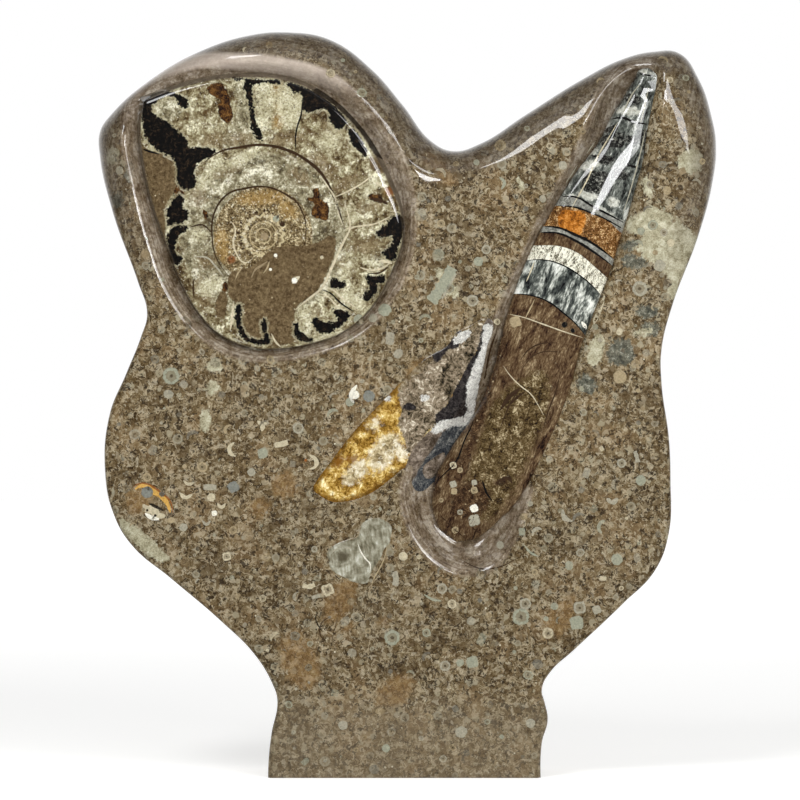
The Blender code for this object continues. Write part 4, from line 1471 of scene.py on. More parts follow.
class Inlay:
    """Collects discs and strips and makes one mesh of them."""

    def __init__(self, name, seed):
        self.name, self.random = name, np.random.default_rng(seed)
        self.flat, self.sink, self.tone, self.ring, self.faces, self.count = [], [], [], [], [], 0
        self.clear, self.clearness = [], 1.0

    def put(self, flat, sink, ring, tone, faces):
        """Adds one bit: places, depths, ring numbers, a tone and its faces."""
        self.faces += [tuple(self.count + i for i in face) for face in faces]
        self.count += len(flat)
        for store_in, values in ((self.flat, flat), (self.sink, sink), (self.ring, ring)):
            store_in.append(np.asarray(values, dtype=float))
        self.tone.append(np.full(len(flat), (TONE_ORDER.index(tone) + 0.5) / len(TONE_ORDER)))
        self.clear.append(np.full(len(flat), self.clearness))

    def disc(self, middle, radius, tone, ringed=False, corners=2.0, lean=0.0, stretch=1.0):
        """A round bit, or a square one when corners is large; ringed ones have a centre dot."""
        sides = DISC_SIDES
        angles = np.linspace(0, math.tau, sides, endpoint=False)
        c, s = np.cos(angles), np.sin(angles)
        reach = (np.abs(c) ** corners + np.abs(s) ** corners) ** (-1 / corners)
        reach *= 1 + self.random.normal(0, 0.035, sides)
        turn = math.radians(lean)
        shape = np.column_stack([c * reach * stretch, s * reach]) * radius
        shape = shape @ np.array([[math.cos(turn), math.sin(turn)],
                                  [-math.sin(turn), math.cos(turn)]])
        shares = [0.22, 0.45, 0.7, 0.92, 1.0, 1.02]
        flat = np.vstack([[(0, 0)], *(shape * share for share in shares), [(0, 0)]]) + middle
        sink = [PROUD] * (1 + 5 * sides) + [SUNK] * sides + [SUNK + 0.3]
        levels = [0.0, *np.repeat(shares, sides), 1.0]
        shown = np.asarray(levels) if ringed else np.maximum(levels, 0.75)
        faces = [(0, 1 + i, 1 + (i + 1) % sides) for i in range(sides)]
        for row in range(len(shares) - 1):
            a, b = 1 + row * sides, 1 + (row + 1) * sides
            faces += [(a + i, b + i, b + (i + 1) % sides, a + (i + 1) % sides)
                      for i in range(sides)]
        last = 1 + (len(shares) - 1) * sides
        faces += [(last + i, last + sides, last + (i + 1) % sides) for i in range(sides)]
        self.put(flat, sink, shown, tone, faces)

    def strip(self, knots, width, tone, blunt=False, wobble=0.12, within=None):
        """A sliver along a knot list; it tapers to points unless it is blunt."""
        line = smooth_line(knots, min(0.7, width * 1.5 + 0.2), closed=False)
        if within is not None:
            kept = line[inside_distance(line, within) > 0.1]
            line = kept if len(kept) > 4 else line
        count = len(line)
        heading = np.gradient(line, axis=0)
        heading /= np.maximum(np.linalg.norm(heading, axis=1), 1e-9)[:, None]
        side = np.column_stack([-heading[:, 1], heading[:, 0]])
        t = np.linspace(0, 1, count)
        taper = np.ones(count) if blunt else np.sin(math.pi * np.clip(t, 0.02, 0.98)) ** 0.5
        half = width / 2 * taper * (1 + self.random.normal(0, wobble, count))
        half = np.maximum(half, 0.03)[:, None]
        flat = np.stack([line - side * half, line - side * half * 0.9,
                         line + side * half * 0.9, line + side * half], axis=1).reshape(-1, 2)
        sink = np.tile([SUNK, PROUD, PROUD, SUNK], count)
        faces = [(3, 2, 1, 0), tuple((count - 1) * 4 + i for i in range(4))]
        for row in range(count - 1):
            a, b = row * 4, row * 4 + 4
            faces += [(a + i, a + (i + 1) % 4, b + (i + 1) % 4, b + i) for i in range(4)]
        self.put(flat, sink, np.full(len(flat), 0.8), tone, faces)

    def build(self, finish):
        """Lays all the bits on the surface and makes them one mesh."""
        flat = np.vstack(self.flat)
        depth = FACE_Y + surface_depth(flat) + np.concatenate(self.sink)
        corners = np.column_stack([flat[:, 0], depth, flat[:, 1]])
        thing = add_mesh(self.name, corners, self.faces, finish, sharp_above=25.0)
        store(thing, "tone", np.concatenate(self.tone))
        store(thing, "ring", np.concatenate(self.ring))
        store(thing, "clear", np.concatenate(self.clear))
        print(self.name + ":", len(self.flat), "bits,", len(self.faces), "faces")
        return thing


def inlay_finish():
    finish = Finish("inlaid_calcite")
    place = finish.place()
    tone, ring = finish.grown("tone"), finish.grown("ring")
    grain = finish.noise(place, 0.7, detail=3.0, roughness=0.65)
    stops = [(i / len(TONE_ORDER), chart(*INLAY_TONES[n])) for i, n in enumerate(TONE_ORDER)]
    colour = finish.shades(tone, stops, stepped=True)
    colour = finish.shaded(colour, finish.ramp(grain, 0.25, 0.75) * 0.5 + 0.75)
    fray = (grain - 0.5) * 0.6
    heart = finish.ramp(ring + fray, 0.68, 0.6)
    colour = finish.mix(colour, chart(120, 108, 84), heart * 0.65)
    colour = finish.mix(colour, chart(58, 46, 32), finish.ramp(ring + fray, 0.26, 0.18) * 0.85)
    body = finish.grown("clear") * finish.ramp(ring + fray, 1.02, 0.94)
    return finish.finish(finish.mix(limestone(finish, place), colour, body), height=grain)


inlaid = inlay_finish()
print("tones:", ", ".join(TONE_ORDER))

# %% [markdown]
# ## Walls and cracks of the orthoceras
# The chamber walls were thin shell, and show as dark lines. Finer pale lines are cracks that
# healed with calcite, and the beads and squares near the mouth are bits of sea lily that
# washed into it. A list of knots, widths and tones is enough, because the strip tool does the
# same for each.

# %% septa and cracks of the orthoceras
WALL_WIDTHS = {
    "cap": 0.6, "first": 0.9, "grey end": 0.8, "orange top": 0.7, "orange end": 1.0,
    "brown top": 0.9, "marble top": 0.5, "mud top": 0.6,
}
SHELL_CRACKS = [                # knots, width, tone
    ([(72.4, 204.5), (74.9, 204.2), (78.2, 203.2)], 0.8, "black"),
    ([(58.5, 208.2), (63.2, 207.5), (66.5, 207.5)], 1.0, "black"),
    ([(79.5, 216.8), (78.6, 212.2), (77.4, 207.2), (74.5, 196.5), (71.9, 188.4)], 0.5, "grey"),
    ([(80.2, 216.2), (79.6, 213.2), (78.8, 209.9)], 0.6, "black"),
    ([(77.8, 231.8), (76.2, 229.9), (74.7, 227.7), (71.9, 221.6)], 0.5, "grey"),
    ([(80.7, 230.7), (79.9, 227.6), (79.1, 223.9), (77.9, 218.8)], 0.5, "grey"),
    ([(70.2, 218.9), (68.2, 215.4), (63.4, 207.2), (60.0, 199.7), (54.5, 189.8)], 0.55, "cream"),
    ([(65.5, 216.1), (59.6, 208.2), (53.1, 199.0), (48.4, 191.4)], 0.45, "grey"),
    ([(66.2, 212.5), (68.2, 213.2), (70.2, 212.9)], 0.5, "smoke"),
    ([(42.4, 172.4), (41.1, 169.0), (39.7, 165.7)], 0.5, "cream"),
    ([(65.8, 161.0), (63.8, 155.6), (61.1, 149.6)], 1.6, "cream"),
    ([(58.1, 152.3), (59.5, 150.3), (60.5, 146.3)], 1.4, "white"),
    ([(42.4, 159.7), (41.4, 157.6), (39.1, 153.0)], 0.5, "tan"),
    ([(31.0, 155.3), (35.0, 154.6), (38.5, 153.8), (45.4, 151.4), (52.1, 149.0),
     (59.8, 146.6)], 0.45, "cream"),
    ([(32.0, 137.6), (34.4, 134.2), (37.7, 130.9), (41.1, 128.2), (43.4, 124.8),
     (45.4, 121.2)], 0.4, "cream"),
    ([(37.7, 130.2), (35.0, 126.2), (33.0, 122.2), (31.0, 116.8)], 0.5, "umber"),
    ([(51.1, 135.6), (49.4, 128.9), (47.1, 122.8), (45.1, 116.1)], 0.5, "umber"),
    ([(30.0, 149.6), (27.7, 142.9), (26.3, 135.6), (25.0, 128.9)], 0.7, "umber"),
    ([(27.3, 144.6), (25.7, 137.6), (24.3, 131.2), (22.3, 124.5), (22.0, 119.5), (19.0, 112.5),
     (16.3, 105.8), (13.0, 102.1), (9.3, 98.7), (6.3, 96.4), (2.2, 94.1)], 0.6, "black"),
    ([(25.0, 99.4), (25.7, 97.1), (26.7, 94.7), (28.3, 92.7)], 0.7, "black"),
    ([(29.7, 98.7), (31.7, 99.7), (33.7, 100.1), (35.0, 98.4)], 1.4, "umber"),
    ([(37.7, 139.6), (40.4, 142.9), (44.4, 144.9), (49.8, 145.3)], 0.5, "umber"),
    ([(38.4, 136.9), (41.1, 140.2), (45.1, 142.2), (51.1, 142.2)], 0.4, "umber"),
    ([(31.0, 122.8), (33.7, 126.9), (37.7, 130.2)], 1.6, "umber"),
    ([(33.0, 123.5), (36.4, 126.9), (39.1, 128.9)], 0.9, "umber"),
    ([(21.0, 84.3), (23.7, 82.0), (27.7, 80.7), (31.7, 80.7)], 0.5, "umber"),
    ([(10.9, 87.7), (16.0, 82.7), (20.3, 79.3), (24.3, 77.3)], 0.5, "umber"),
    ([(18.3, 72.6), (24.3, 70.0), (31.0, 70.6), (36.4, 73.3)], 0.4, "umber"),
]
SHELL_BEADS = [                 # middle, radius, tone, and if need be dotted, squareness, lean
    ((52.4, 151.3), 1.0, "black"), ((55.1, 149.3), 0.8, "black"),
    ((30.0, 152.3), 1.1, "cream", True), ((36.0, 152.3), 1.8, "tan", False, 5.0, 20),
    ((15.3, 98.1), 1.1, "grey", False, 5.0, 20), ((15.6, 95.7), 1.0, "tan", False, 5.0, 0),
    ((22.3, 98.7), 0.9, "grey", False, 5.0, 10), ((22.3, 96.1), 1.1, "tan", True, 5.0, 15),
    ((22.3, 90.0), 1.3, "white", False, 4.0, 20), ((22.3, 86.0), 1.9, "grey", False, 5.0, 12),
    ((16.0, 82.7), 1.2, "tan", True), ((15.3, 104.4), 1.1, "cream", True, 4.0, 20),
    ((17.6, 102.8), 0.9, "tan", True, 3.0, 0), ((11.3, 92.7), 0.8, "tan", True),
    ((17.6, 88.7), 0.9, "grey", True, 3.0, 0), ((31.0, 77.7), 1.2, "grey", False, 3.0, 30),
]
septa = Inlay("orthoceras_septa", seed=11)
for wall, width in WALL_WIDTHS.items():
    septa.strip(SEPTA[wall], width, "black", within=shell_edge)
for knots, width, tone in SHELL_CRACKS:
    septa.strip(knots, width, tone, within=shell_edge)
for middle, radius, tone, *shape in SHELL_BEADS:
    septa.disc(middle, radius, tone, *shape)
septa.build(inlaid)

# %% [markdown]
# ## Lines on the ammonite
# Each turn of the coil ends in a dark seam against the next, and pale veins cross the outer
# chambers. Round the middle runs a frill of small teeth, where a chamber wall met the shell.
# The teeth follow a circle, so a loop sets them with a little scatter.

# %% sutures and veins of the ammonite
COIL_LINES = [                  # knots, width, tone
    ([(-67.4, 205.5), (-65.0, 207.5), (-61.0, 209.5), (-57.0, 210.2), (-48.6, 211.2),
     (-39.3, 209.2), (-33.2, 205.8), (-28.5, 201.5), (-25.5, 196.5), (-23.5, 191.4),
     (-20.9, 183.1)], 1.1, "umber"),
    ([(-28.9, 200.8), (-25.9, 196.5), (-24.2, 193.8), (-22.7, 187.6),
     (-20.9, 183.4)], 0.7, "cream"),
    ([(-20.9, 191.4), (-19.5, 187.1), (-19.2, 183.1), (-20.9, 179.7), (-22.5, 176.4),
     (-25.2, 170.4), (-28.5, 163.7), (-33.2, 159.7), (-37.3, 156.3)], 0.9, "cream"),
    ([(-59.7, 167.7), (-62.7, 171.7), (-64.4, 175.7), (-65.0, 179.7), (-65.0, 185.8),
     (-64.0, 189.4), (-62.0, 192.8), (-58.7, 195.5), (-54.5, 196.6), (-50.0, 197.3),
     (-45.5, 196.9), (-39.6, 194.2), (-36.9, 192.1), (-35.0, 188.8), (-33.9, 185.1),
     (-33.9, 181.1), (-34.2, 177.7)], 0.7, "umber"),
    ([(-9.8, 203.2), (-12.8, 200.2), (-15.8, 198.0), (-19.8, 195.8), (-24.2, 193.8)], 0.6, "cream"),
    ([(-6.1, 187.2), (-10.6, 185.0), (-15.3, 184.2), (-19.8, 183.8)], 0.6, "cream"),
    ([(-5.7, 171.9), (-8.8, 170.0), (-13.0, 169.6), (-15.8, 170.4)], 0.8, "cream"),
    ([(-6.1, 170.7), (-9.1, 168.7), (-13.2, 168.4)], 0.6, "umber"),
    ([(-28.3, 163.0), (-25.5, 161.7), (-23.0, 159.2), (-20.5, 157.3),
     (-17.9, 155.7)], 0.6, "black"),
    ([(-29.6, 161.7), (-26.5, 160.7), (-23.9, 158.0), (-20.5, 155.6)], 0.6, "cream"),
    ([(-27.2, 164.0), (-24.5, 162.7), (-21.9, 160.3), (-17.2, 157.0)], 0.6, "cream"),
    ([(-35.0, 226.6), (-35.3, 221.8), (-36.7, 217.2), (-37.3, 213.3),
     (-37.1, 209.2)], 0.6, "black"),
    ([(-71.1, 174.0), (-66.7, 173.6), (-64.2, 171.1), (-61.3, 167.5)], 0.7, "grey"),
    ([(-72.5, 183.8), (-68.1, 184.5), (-65.2, 181.9)], 0.6, "umber"),
    ([(-71.1, 166.7), (-71.4, 163.8), (-71.1, 160.2)], 0.6, "umber"),
    ([(-58.0, 158.7), (-58.3, 154.3), (-59.1, 149.3)], 0.9, "cream"),
    ([(-58.0, 146.9), (-55.3, 145.3), (-52.0, 143.6), (-48.6, 142.9)], 1.0, "grey"),
    ([(-59.0, 185.8), (-58.0, 184.8), (-57.3, 182.4), (-58.0, 179.4), (-56.8, 174.7),
     (-54.2, 172.0), (-51.4, 173.4)], 0.6, "cream"),
    ([(-52.0, 167.0), (-50.6, 169.7), (-48.6, 171.0), (-46.6, 172.4)], 0.7, "buff"),
    ([(-55.0, 170.4), (-56.7, 168.0), (-57.3, 166.3)], 0.5, "tan"),
    ([(-46.0, 172.4), (-46.6, 170.4), (-48.0, 168.4)], 0.6, "tan"),
    ([(-88.5, 209.9), (-85.4, 208.9), (-82.8, 208.2)], 0.8, "black"),
    ([(-38.3, 165.0), (-37.3, 166.3), (-35.9, 167.3)], 1.6, "cream"),
    ([(-20.9, 183.1), (-19.2, 183.4), (-17.2, 183.8)], 0.6, "cream"),
    ([(-47.0, 148.9), (-47.3, 150.9), (-48.0, 153.6)], 1.2, "black"),
    ([(-45.3, 148.3), (-43.9, 145.6), (-41.9, 143.6)], 0.7, "cream"),
    ([(-9.8, 172.4), (-7.1, 172.4), (-5.1, 171.7)], 1.2, "cream"),
    ([(-10.5, 198.8), (-8.5, 197.8), (-5.8, 197.5)], 1.0, "cream"),
    ([(-12.5, 193.1), (-9.1, 192.8), (-6.5, 191.4)], 1.4, "umber"),
]
COIL_SPOTS = [                  # middle, radius, tone
    ((-43.7, 186.6), 1.1, "green"), ((-41.7, 184.8), 0.9, "umber"), ((-43.9, 174.4), 0.6, "white"),
    ((-45.6, 169.7), 0.5, "white"), ((-28.5, 173.7), 0.6, "cream"), ((-47.6, 180.7), 1.3, "buff"),
    ((-37.6, 166.0), 1.0, "white"),
]
veins = Inlay("ammonite_sutures", seed=12)
for knots, width, tone in COIL_LINES:
    veins.strip(knots, width, tone)
for middle, radius, tone in COIL_SPOTS:
    veins.disc(middle, radius, tone)
for turn in np.radians(np.linspace(58, 236, 17)):      # the frilled teeth round the middle
    turn += veins.random.normal(0, 0.06)
    away = np.array([math.cos(turn), math.sin(turn)])
    for far, size, tone in [(FRILL_AT, 0.42, "cream"), (FRILL_AT + 1.5, 0.34, "umber")]:
        middle = SPIRAL_CENTRE + away * (far + veins.random.normal(0, 0.35))
        veins.disc(middle, size * veins.random.uniform(0.6, 1.2), tone, lean=math.degrees(turn),
                   stretch=veins.random.uniform(1.0, 1.8))
veins.build(inlaid)

# %% [markdown]
# ## Fossils flush with the face
# The gold lens is a second straight shell that the saw met at a slant. Where it runs out into the
# hollow of the orthoceras the cut shows its wall in layers. The pale nodule lower down is a lump
# of calcite. Both are thin closed sheets that follow the ground stone a tenth of a millimetre
# proud of it, with their rims sunk.

# %% flush sheets
SHEET_STEP = 0.75               # distance between points on a sheet
RIM_SUNK = 0.3                  # how deep a sheet's rim lies in the stone
UNDERSIDE = 1.2                 # and its underside


def build_sheet(name, knots):
    """A thin closed sheet that follows the ground stone inside a line."""
    boundary = smooth_line(knots, 0.8)
    flat = sheet_points(boundary, SHEET_STEP, [0.3, 0.6], seed=5)
    rise = blend(0.0, 0.3, inside_distance(flat, boundary))
    count = len(boundary)
    top = FACE_Y + relief_depth(flat) + RIM_SUNK - (RIM_SUNK + SHEET_PROUD) * rise
    under = FACE_Y + relief_depth(boundary) + UNDERSIDE
    corners = np.vstack([np.column_stack([flat[:, 0], top, flat[:, 1]]),
                         np.column_stack([boundary[:, 0], under, boundary[:, 1]])])
    faces = triangulate(flat, count)
    faces += [tuple(len(flat) + i for i in face[::-1]) for face in triangulate(boundary, count)]
    for i in range(count):
        j = (i + 1) % count
        faces.append((i, j, len(flat) + j, len(flat) + i))
    sheet = add_mesh(name, corners, faces, sharp_above=60.0)
    store(sheet, "from_rim", inside_distance(surface_points(sheet)[:, [0, 2]], boundary))
    sheet_lines.append(boundary)
    return sheet


print("sheets stand", SHEET_PROUD, "mm proud of the stone")

# %% [markdown]
# ## The slanted shell
# The saw met this shell at a slant. Its far end shows as a lens of gold and white calcite, the
# middle as a pinkish cloud of crystals, and its wall as a white and a black band, where it
# runs out into the hollow. Each zone is an outline, and later zones cover earlier ones.

# %% zones of the slanted shell
SLANTED_SHELL = [
    (-31.6, 96.4), (-29.9, 100.1), (-27.2, 103.8), (-22.5, 110.1), (-16.5, 117.5), (-9.8, 124.5),
    (-1.1, 133.5), (5.9, 140.2), (13.3, 144.6), (16.0, 148.6), (21.0, 151.3), (25.7, 153.6),
    (28.3, 153.0), (28.7, 149.6), (27.0, 144.6), (25.7, 137.6), (24.3, 131.2), (22.0, 119.5),
    (19.0, 112.5), (16.3, 105.8), (13.0, 102.1), (9.3, 98.7), (3.6, 95.4), (1.2, 98.7),
    (1.2, 104.1), (-0.8, 103.4), (-5.8, 99.4), (-12.5, 94.7), (-19.2, 92.4), (-24.9, 92.0),
    (-29.2, 94.1),
]
SHELL_PARTS = {
    "dusk": [
        [(-1.1, 133.5), (5.9, 140.9), (13.3, 145.3), (16.0, 149.3), (21.0, 152.3),
         (29.0, 155.6), (29.4, 149.6), (23.7, 142.9), (19.0, 134.9), (14.6, 126.9),
         (9.6, 118.1), (6.9, 115.5), (2.2, 108.8), (0.2, 108.8), (-1.1, 113.5), (-3.1, 118.1),
         (-1.8, 123.5), (-3.1, 128.2)],
    ],
    "wall": [
        [(29.0, 154.3), (23.7, 143.3), (19.0, 134.9), (14.6, 126.9), (9.6, 118.1), (7.9, 116.1),
         (14.6, 116.8), (23.0, 118.8), (25.7, 131.2), (28.3, 144.6), (30.4, 151.3)],
    ],
    "root": [
        [(7.9, 116.1), (14.6, 117.1), (23.7, 119.2), (21.0, 111.1), (17.6, 104.4), (9.6, 96.7),
         (1.6, 92.7), (-0.8, 99.4), (0.6, 107.4), (5.6, 114.1)],
    ],
    "night": [
        [(27.3, 151.6), (23.0, 142.9), (18.6, 134.9), (14.3, 126.5), (9.6, 118.1),
         (15.0, 119.5), (20.3, 120.8), (20.3, 126.9), (21.3, 134.9), (24.7, 142.9)],
        [(9.6, 138.9), (13.6, 142.9), (17.0, 143.9), (16.3, 146.9), (13.0, 144.9), (8.3, 140.9)],
        [(6.9, 142.2), (15.0, 147.6), (18.0, 149.3), (15.0, 148.6), (9.6, 144.9)],
        [(-1.4, 124.2), (0.9, 125.2), (3.2, 123.8), (1.2, 122.5)],
    ],
    "frost": [
        [(27.3, 151.6), (24.3, 142.9), (21.0, 134.9), (19.6, 126.9), (19.6, 121.5),
         (14.3, 119.8), (8.9, 117.5), (7.9, 115.5), (14.3, 117.1), (21.0, 118.8), (22.7, 124.8),
         (24.3, 132.9), (26.7, 142.2)],
        oval((18.3, 147.3), 7.0, 3.0, 35), oval((5.6, 126.9), 3.0, 2.4, 20),
        oval((-6.5, 126.9), 3.0, 2.0),
    ],
    "slate": [
        [(13.0, 116.5), (22.3, 118.8), (19.0, 112.1), (15.6, 106.8), (13.3, 102.8), (8.9, 97.7),
         (3.9, 94.4), (1.2, 96.4), (2.9, 101.1), (5.3, 105.4), (8.9, 110.5)],
    ],
    "heart": [
        oval((-7.8, 108.8), 14.0, 7.5, 55), oval((-17.2, 102.1), 11.0, 5.5, 45),
        oval((-11.1, 118.1), 5.0, 3.0, 40), oval((-1.8, 108.8), 5.0, 5.0, 60),
    ],
    "amber": [
        oval((-23.2, 105.8), 5.0, 3.6, 40), oval((-18.5, 106.8), 5.0, 2.0, 15),
    ],
}

slanted_shell = build_sheet("slanted_shell", SLANTED_SHELL)
for part, marks in SHELL_PARTS.items():
    store(slanted_shell, part, mark_distance(surface_points(slanted_shell)[:, [0, 2]], marks))
print(len(SHELL_PARTS), "zones on the slanted shell")

# %% [markdown]
# ## Golden calcite
# Iron turned the calcite to gold, most of all near the rim, and left the heart white. The
# clouds are pushed about by another noise before they are shaded, which gives the torn look of
# crystals that grew into each other.

# %% slanted shell finish
def slanted_shell_finish():
    finish = Finish("golden_calcite")
    place = finish.place()
    ragged = finish.noise(place, 1.6, detail=4.0, roughness=0.7) - 0.5
    frayed = finish.noise(place, 0.5, detail=2.0, roughness=0.7) - 0.5
    rim = finish.grown("from_rim")
    streaky = finish.warped(place, 2.5, 2.5)
    colour = finish.mottle(streaky, 3.6, [(70, 46, 10), (134, 98, 32), (178, 142, 66),
                                          (216, 188, 116), (248, 234, 186)], grain=0.3, spread=0.12)
    white = finish.mottle(streaky, 3.2, [(112, 98, 70), (168, 152, 116), (204, 190, 156),
                                         (232, 222, 194), (250, 247, 232)], grain=0.3, spread=0.12)
    white = curls(finish, place, white, 3.0, (248, 244, 226), 0.6)
    colour = curls(finish, finish.shifted(place, (4.0, 0.0, 1.0)), colour, 2.6, (96, 62, 16), 0.6)
    colour = finish.mark(colour, "heart", white, ragged * 6.0, soft=1.2, strength=0.9)
    colour = finish.mark(colour, "amber", chart(112, 66, 14), ragged * 4.0, soft=0.5, strength=0.8)
    dark = finish.mottle(place, 1.4, [(44, 28, 8), (96, 64, 18), (150, 108, 36)])
    colour = finish.mix(colour, dark, finish.ramp(rim + ragged * 4.0, 2.4, 0.4) * 0.9)
    dusk = finish.mottle(finish.warped(place, 3.0, 4.0), 5.0, [
        (16, 15, 10), (66, 57, 40), (124, 110, 90), (154, 140, 119), (224, 216, 196),
    ], grain=0.45, spread=0.13)
    into_mud = finish.ramp(rim + ragged * 9.0, 3.0, 0.8)
    dusk = finish.mix(dusk, limestone(finish, place), into_mud)
    colour = finish.mark(colour, "dusk", dusk, ragged * 3.0, soft=0.4)
    wall = finish.mottle(place, 1.6, [(72, 64, 58), (108, 98, 88), (138, 128, 118)])
    colour = finish.mark(colour, "wall", wall, 0.0)
    root = finish.mottle(streaky, 4.0, [(58, 48, 38), (94, 82, 70), (126, 113, 99),
                                        (164, 152, 138)], spread=0.12)
    colour = finish.mark(colour, "root", root, frayed)
    slate = finish.mottle(streaky, 3.0, [(30, 33, 38), (58, 62, 67), (90, 92, 92), (150, 150, 144)],
                          spread=0.12)
    colour = finish.mark(colour, "slate", slate, ragged * 1.6, soft=0.4)
    night = finish.mottle(place, 1.3, [(16, 14, 14), (38, 34, 34), (80, 74, 70)])
    colour = finish.mark(colour, "night", night, ragged * 2.0, soft=0.25)
    frost = finish.mottle(place, 1.0, [(96, 96, 94), (166, 164, 158), (216, 214, 206),
                                       (244, 243, 238)], grain=0.6)
    colour = finish.mark(colour, "frost", frost, ragged * 2.6 + frayed * 1.5, soft=0.2)
    return finish.finish(colour, height=frayed)


slanted_shell.data.materials.append(slanted_shell_finish())
print("slanted shell:", len(slanted_shell.data.polygons), "faces")

# %% [markdown]
# ## The nodule
# The lump of calcite grew outwards from a hollow, a skin at a time, and was cut through near
# its middle. Bands that follow the distance from the hollow would do for a perfect ball. Here
# noise bends them, and upright fibres and clouds are laid over them.

# %% nodule
NODULE = [
    (-26.9, 76.0), (-24.5, 78.0), (-19.8, 80.0), (-16.8, 81.0), (-15.5, 84.7), (-12.8, 86.7),
    (-9.5, 87.0), (-6.8, 86.0), (-5.1, 84.0), (-5.1, 80.3), (-6.1, 77.7), (-7.5, 76.3),
    (-8.5, 73.3), (-10.6, 70.3), (-12.1, 67.9), (-12.8, 65.3), (-16.8, 64.9), (-22.2, 67.3),
    (-25.5, 69.3), (-26.7, 72.0),
]
NODULE_HEART = (-21.5, 73.8)
nodule = build_sheet("calcite_nodule", NODULE)


def nodule_finish():
    finish = Finish("grey_calcite")
    place = finish.place()
    x, _, z = finish.parts(place)
    x, z = x - NODULE_HEART[0], z - NODULE_HEART[1]
    away = finish.math("SQRT", x * x + z * z)
    bent = away * 0.45 + finish.noise(place, 6.0, detail=2.0) * 3.0
    bands = finish.noise(finish.joined(bent, 0.0, 0.0), 1.0, detail=3.0, roughness=0.6)
    fibres = finish.noise(finish.joined(x * 1.6 + z * 0.2, 0.0, z * 0.35), 1.4, detail=3.0)
    cloud = finish.noise(finish.warped(place, 3.0, 2.5), 4.2, detail=5.0, roughness=0.62)
    tone = bands * 0.25 + fibres * 0.25 + cloud * 0.5
    colour = finish.shades(tone, [
        (0.40, chart(84, 79, 62)), (0.455, chart(114, 109, 90)), (0.50, chart(138, 134, 115)),
        (0.55, chart(162, 160, 142)), (0.62, chart(204, 203, 190)),
    ])
    colour = finish.mix(colour, chart(72, 65, 48), finish.ramp(away + cloud * 3.0, 4.0, 2.2) * 0.8)
    rim = finish.ramp(finish.grown("from_rim") + (cloud - 0.5) * 2.0, 0.6, 0.1)
    colour = finish.mix(colour, limestone(finish, place), rim)
    return finish.finish(colour, height=cloud)


nodule.data.materials.append(nodule_finish())
print("nodule:", len(nodule.data.polygons), "faces")

# %% [markdown]
# ## Stem pieces
# Sea-lily stems fell apart into beads. A bead cut square across is a disc with a dot where the
# food canal ran, one cut along is a little rectangle, and one cut at a slant is a crescent.
# The bigger ones are placed one by one, and the crowd between them is scattered at random.

# %% the bigger stem pieces
LISTED_DISCS = [                # middle, radius, tone, and if need be dotted, squareness, lean
    ((-19.2, 125.5), 1.5, "green"), ((-48.3, 108.4), 1.7, "green", False, 3, 20),
    ((-52.0, 102.1), 1.3, "grey", False, 3, 30), ((-58.0, 97.2), 1.8, "slate", False, 4, 30),
    ((-65.4, 93.7), 1.4, "cream"), ((-64.4, 88.4), 0.9, "white", False, 4, 10),
    ((-1.4, 74.1), 1.5, "cream"), ((-5.1, 46.9), 2.6, "green", True), ((18.0, 15.4), 2.0, "grey"),
    ((41.1, 18.4), 1.6, "grey"), ((17.6, 38.5), 1.3, "green"), ((69.9, 73.0), 2.0, "green"),
    ((-36.4, 116.8), 1.9, "grey", True), ((-78.8, 134.2), 2.9, "green", True),
    ((37.9, 53.9), 2.9, "green", True), ((11.6, 63.3), 1.8, "grey", True),
    ((12.6, 37.5), 1.8, "grey", True), ((39.4, 58.2), 2.0, "grey", True),
    ((-86.8, 100.4), 1.5, "tan", True), ((-68.4, 103.8), 1.8, "tan", True),
    ((-74.7, 83.7), 1.4, "grey"), ((-26.5, 62.9), 1.9, "cream", True, 5, 25),
    ((-60.3, 74.0), 1.4, "cream", True, 4, 10), ((57.5, 56.9), 2.0, "grey", True, 5, 10),
    ((56.5, 51.9), 2.2, "green", False, 5, 12), ((63.2, 56.2), 1.4, "grey", False, 4, 20),
    ((21.7, 38.8), 1.9, "green", False, 5, 10), ((21.7, 159.3), 2.0, "grey", True),
    ((-21.5, 17.7), 1.6, "grey"), ((-7.1, 10.0), 1.4, "green"), ((-17.5, 127.9), 1.5, "white"),
    ((-12.8, 127.5), 2.0, "slate"), ((11.3, 185.1), 1.4, "tan", True),
    ((26.3, 176.4), 1.6, "grey", True), ((23.7, 172.4), 1.6, "green"),
    ((81.9, 184.6), 1.7, "green", True), ((77.9, 182.6), 1.3, "green"),
    ((85.6, 182.1), 1.3, "grey", True), ((87.9, 178.6), 1.3, "cream"),
    ((77.5, 163.3), 2.6, "grey", True), ((84.2, 171.0), 2.0, "grey"), ((70.9, 133.9), 2.3, "tan"),
    ((-7.5, 156.3), 2.2, "green"), ((-11.5, 153.6), 1.5, "grey"), ((-16.2, 153.0), 1.8, "green"),
    ((51.8, 204.5), 1.4, "grey", False, 3, 0), ((-86.8, 95.4), 2.0, "slate"),
    ((71.5, 105.1), 1.6, "grey", True), ((77.9, 99.4), 1.8, "green"),
]
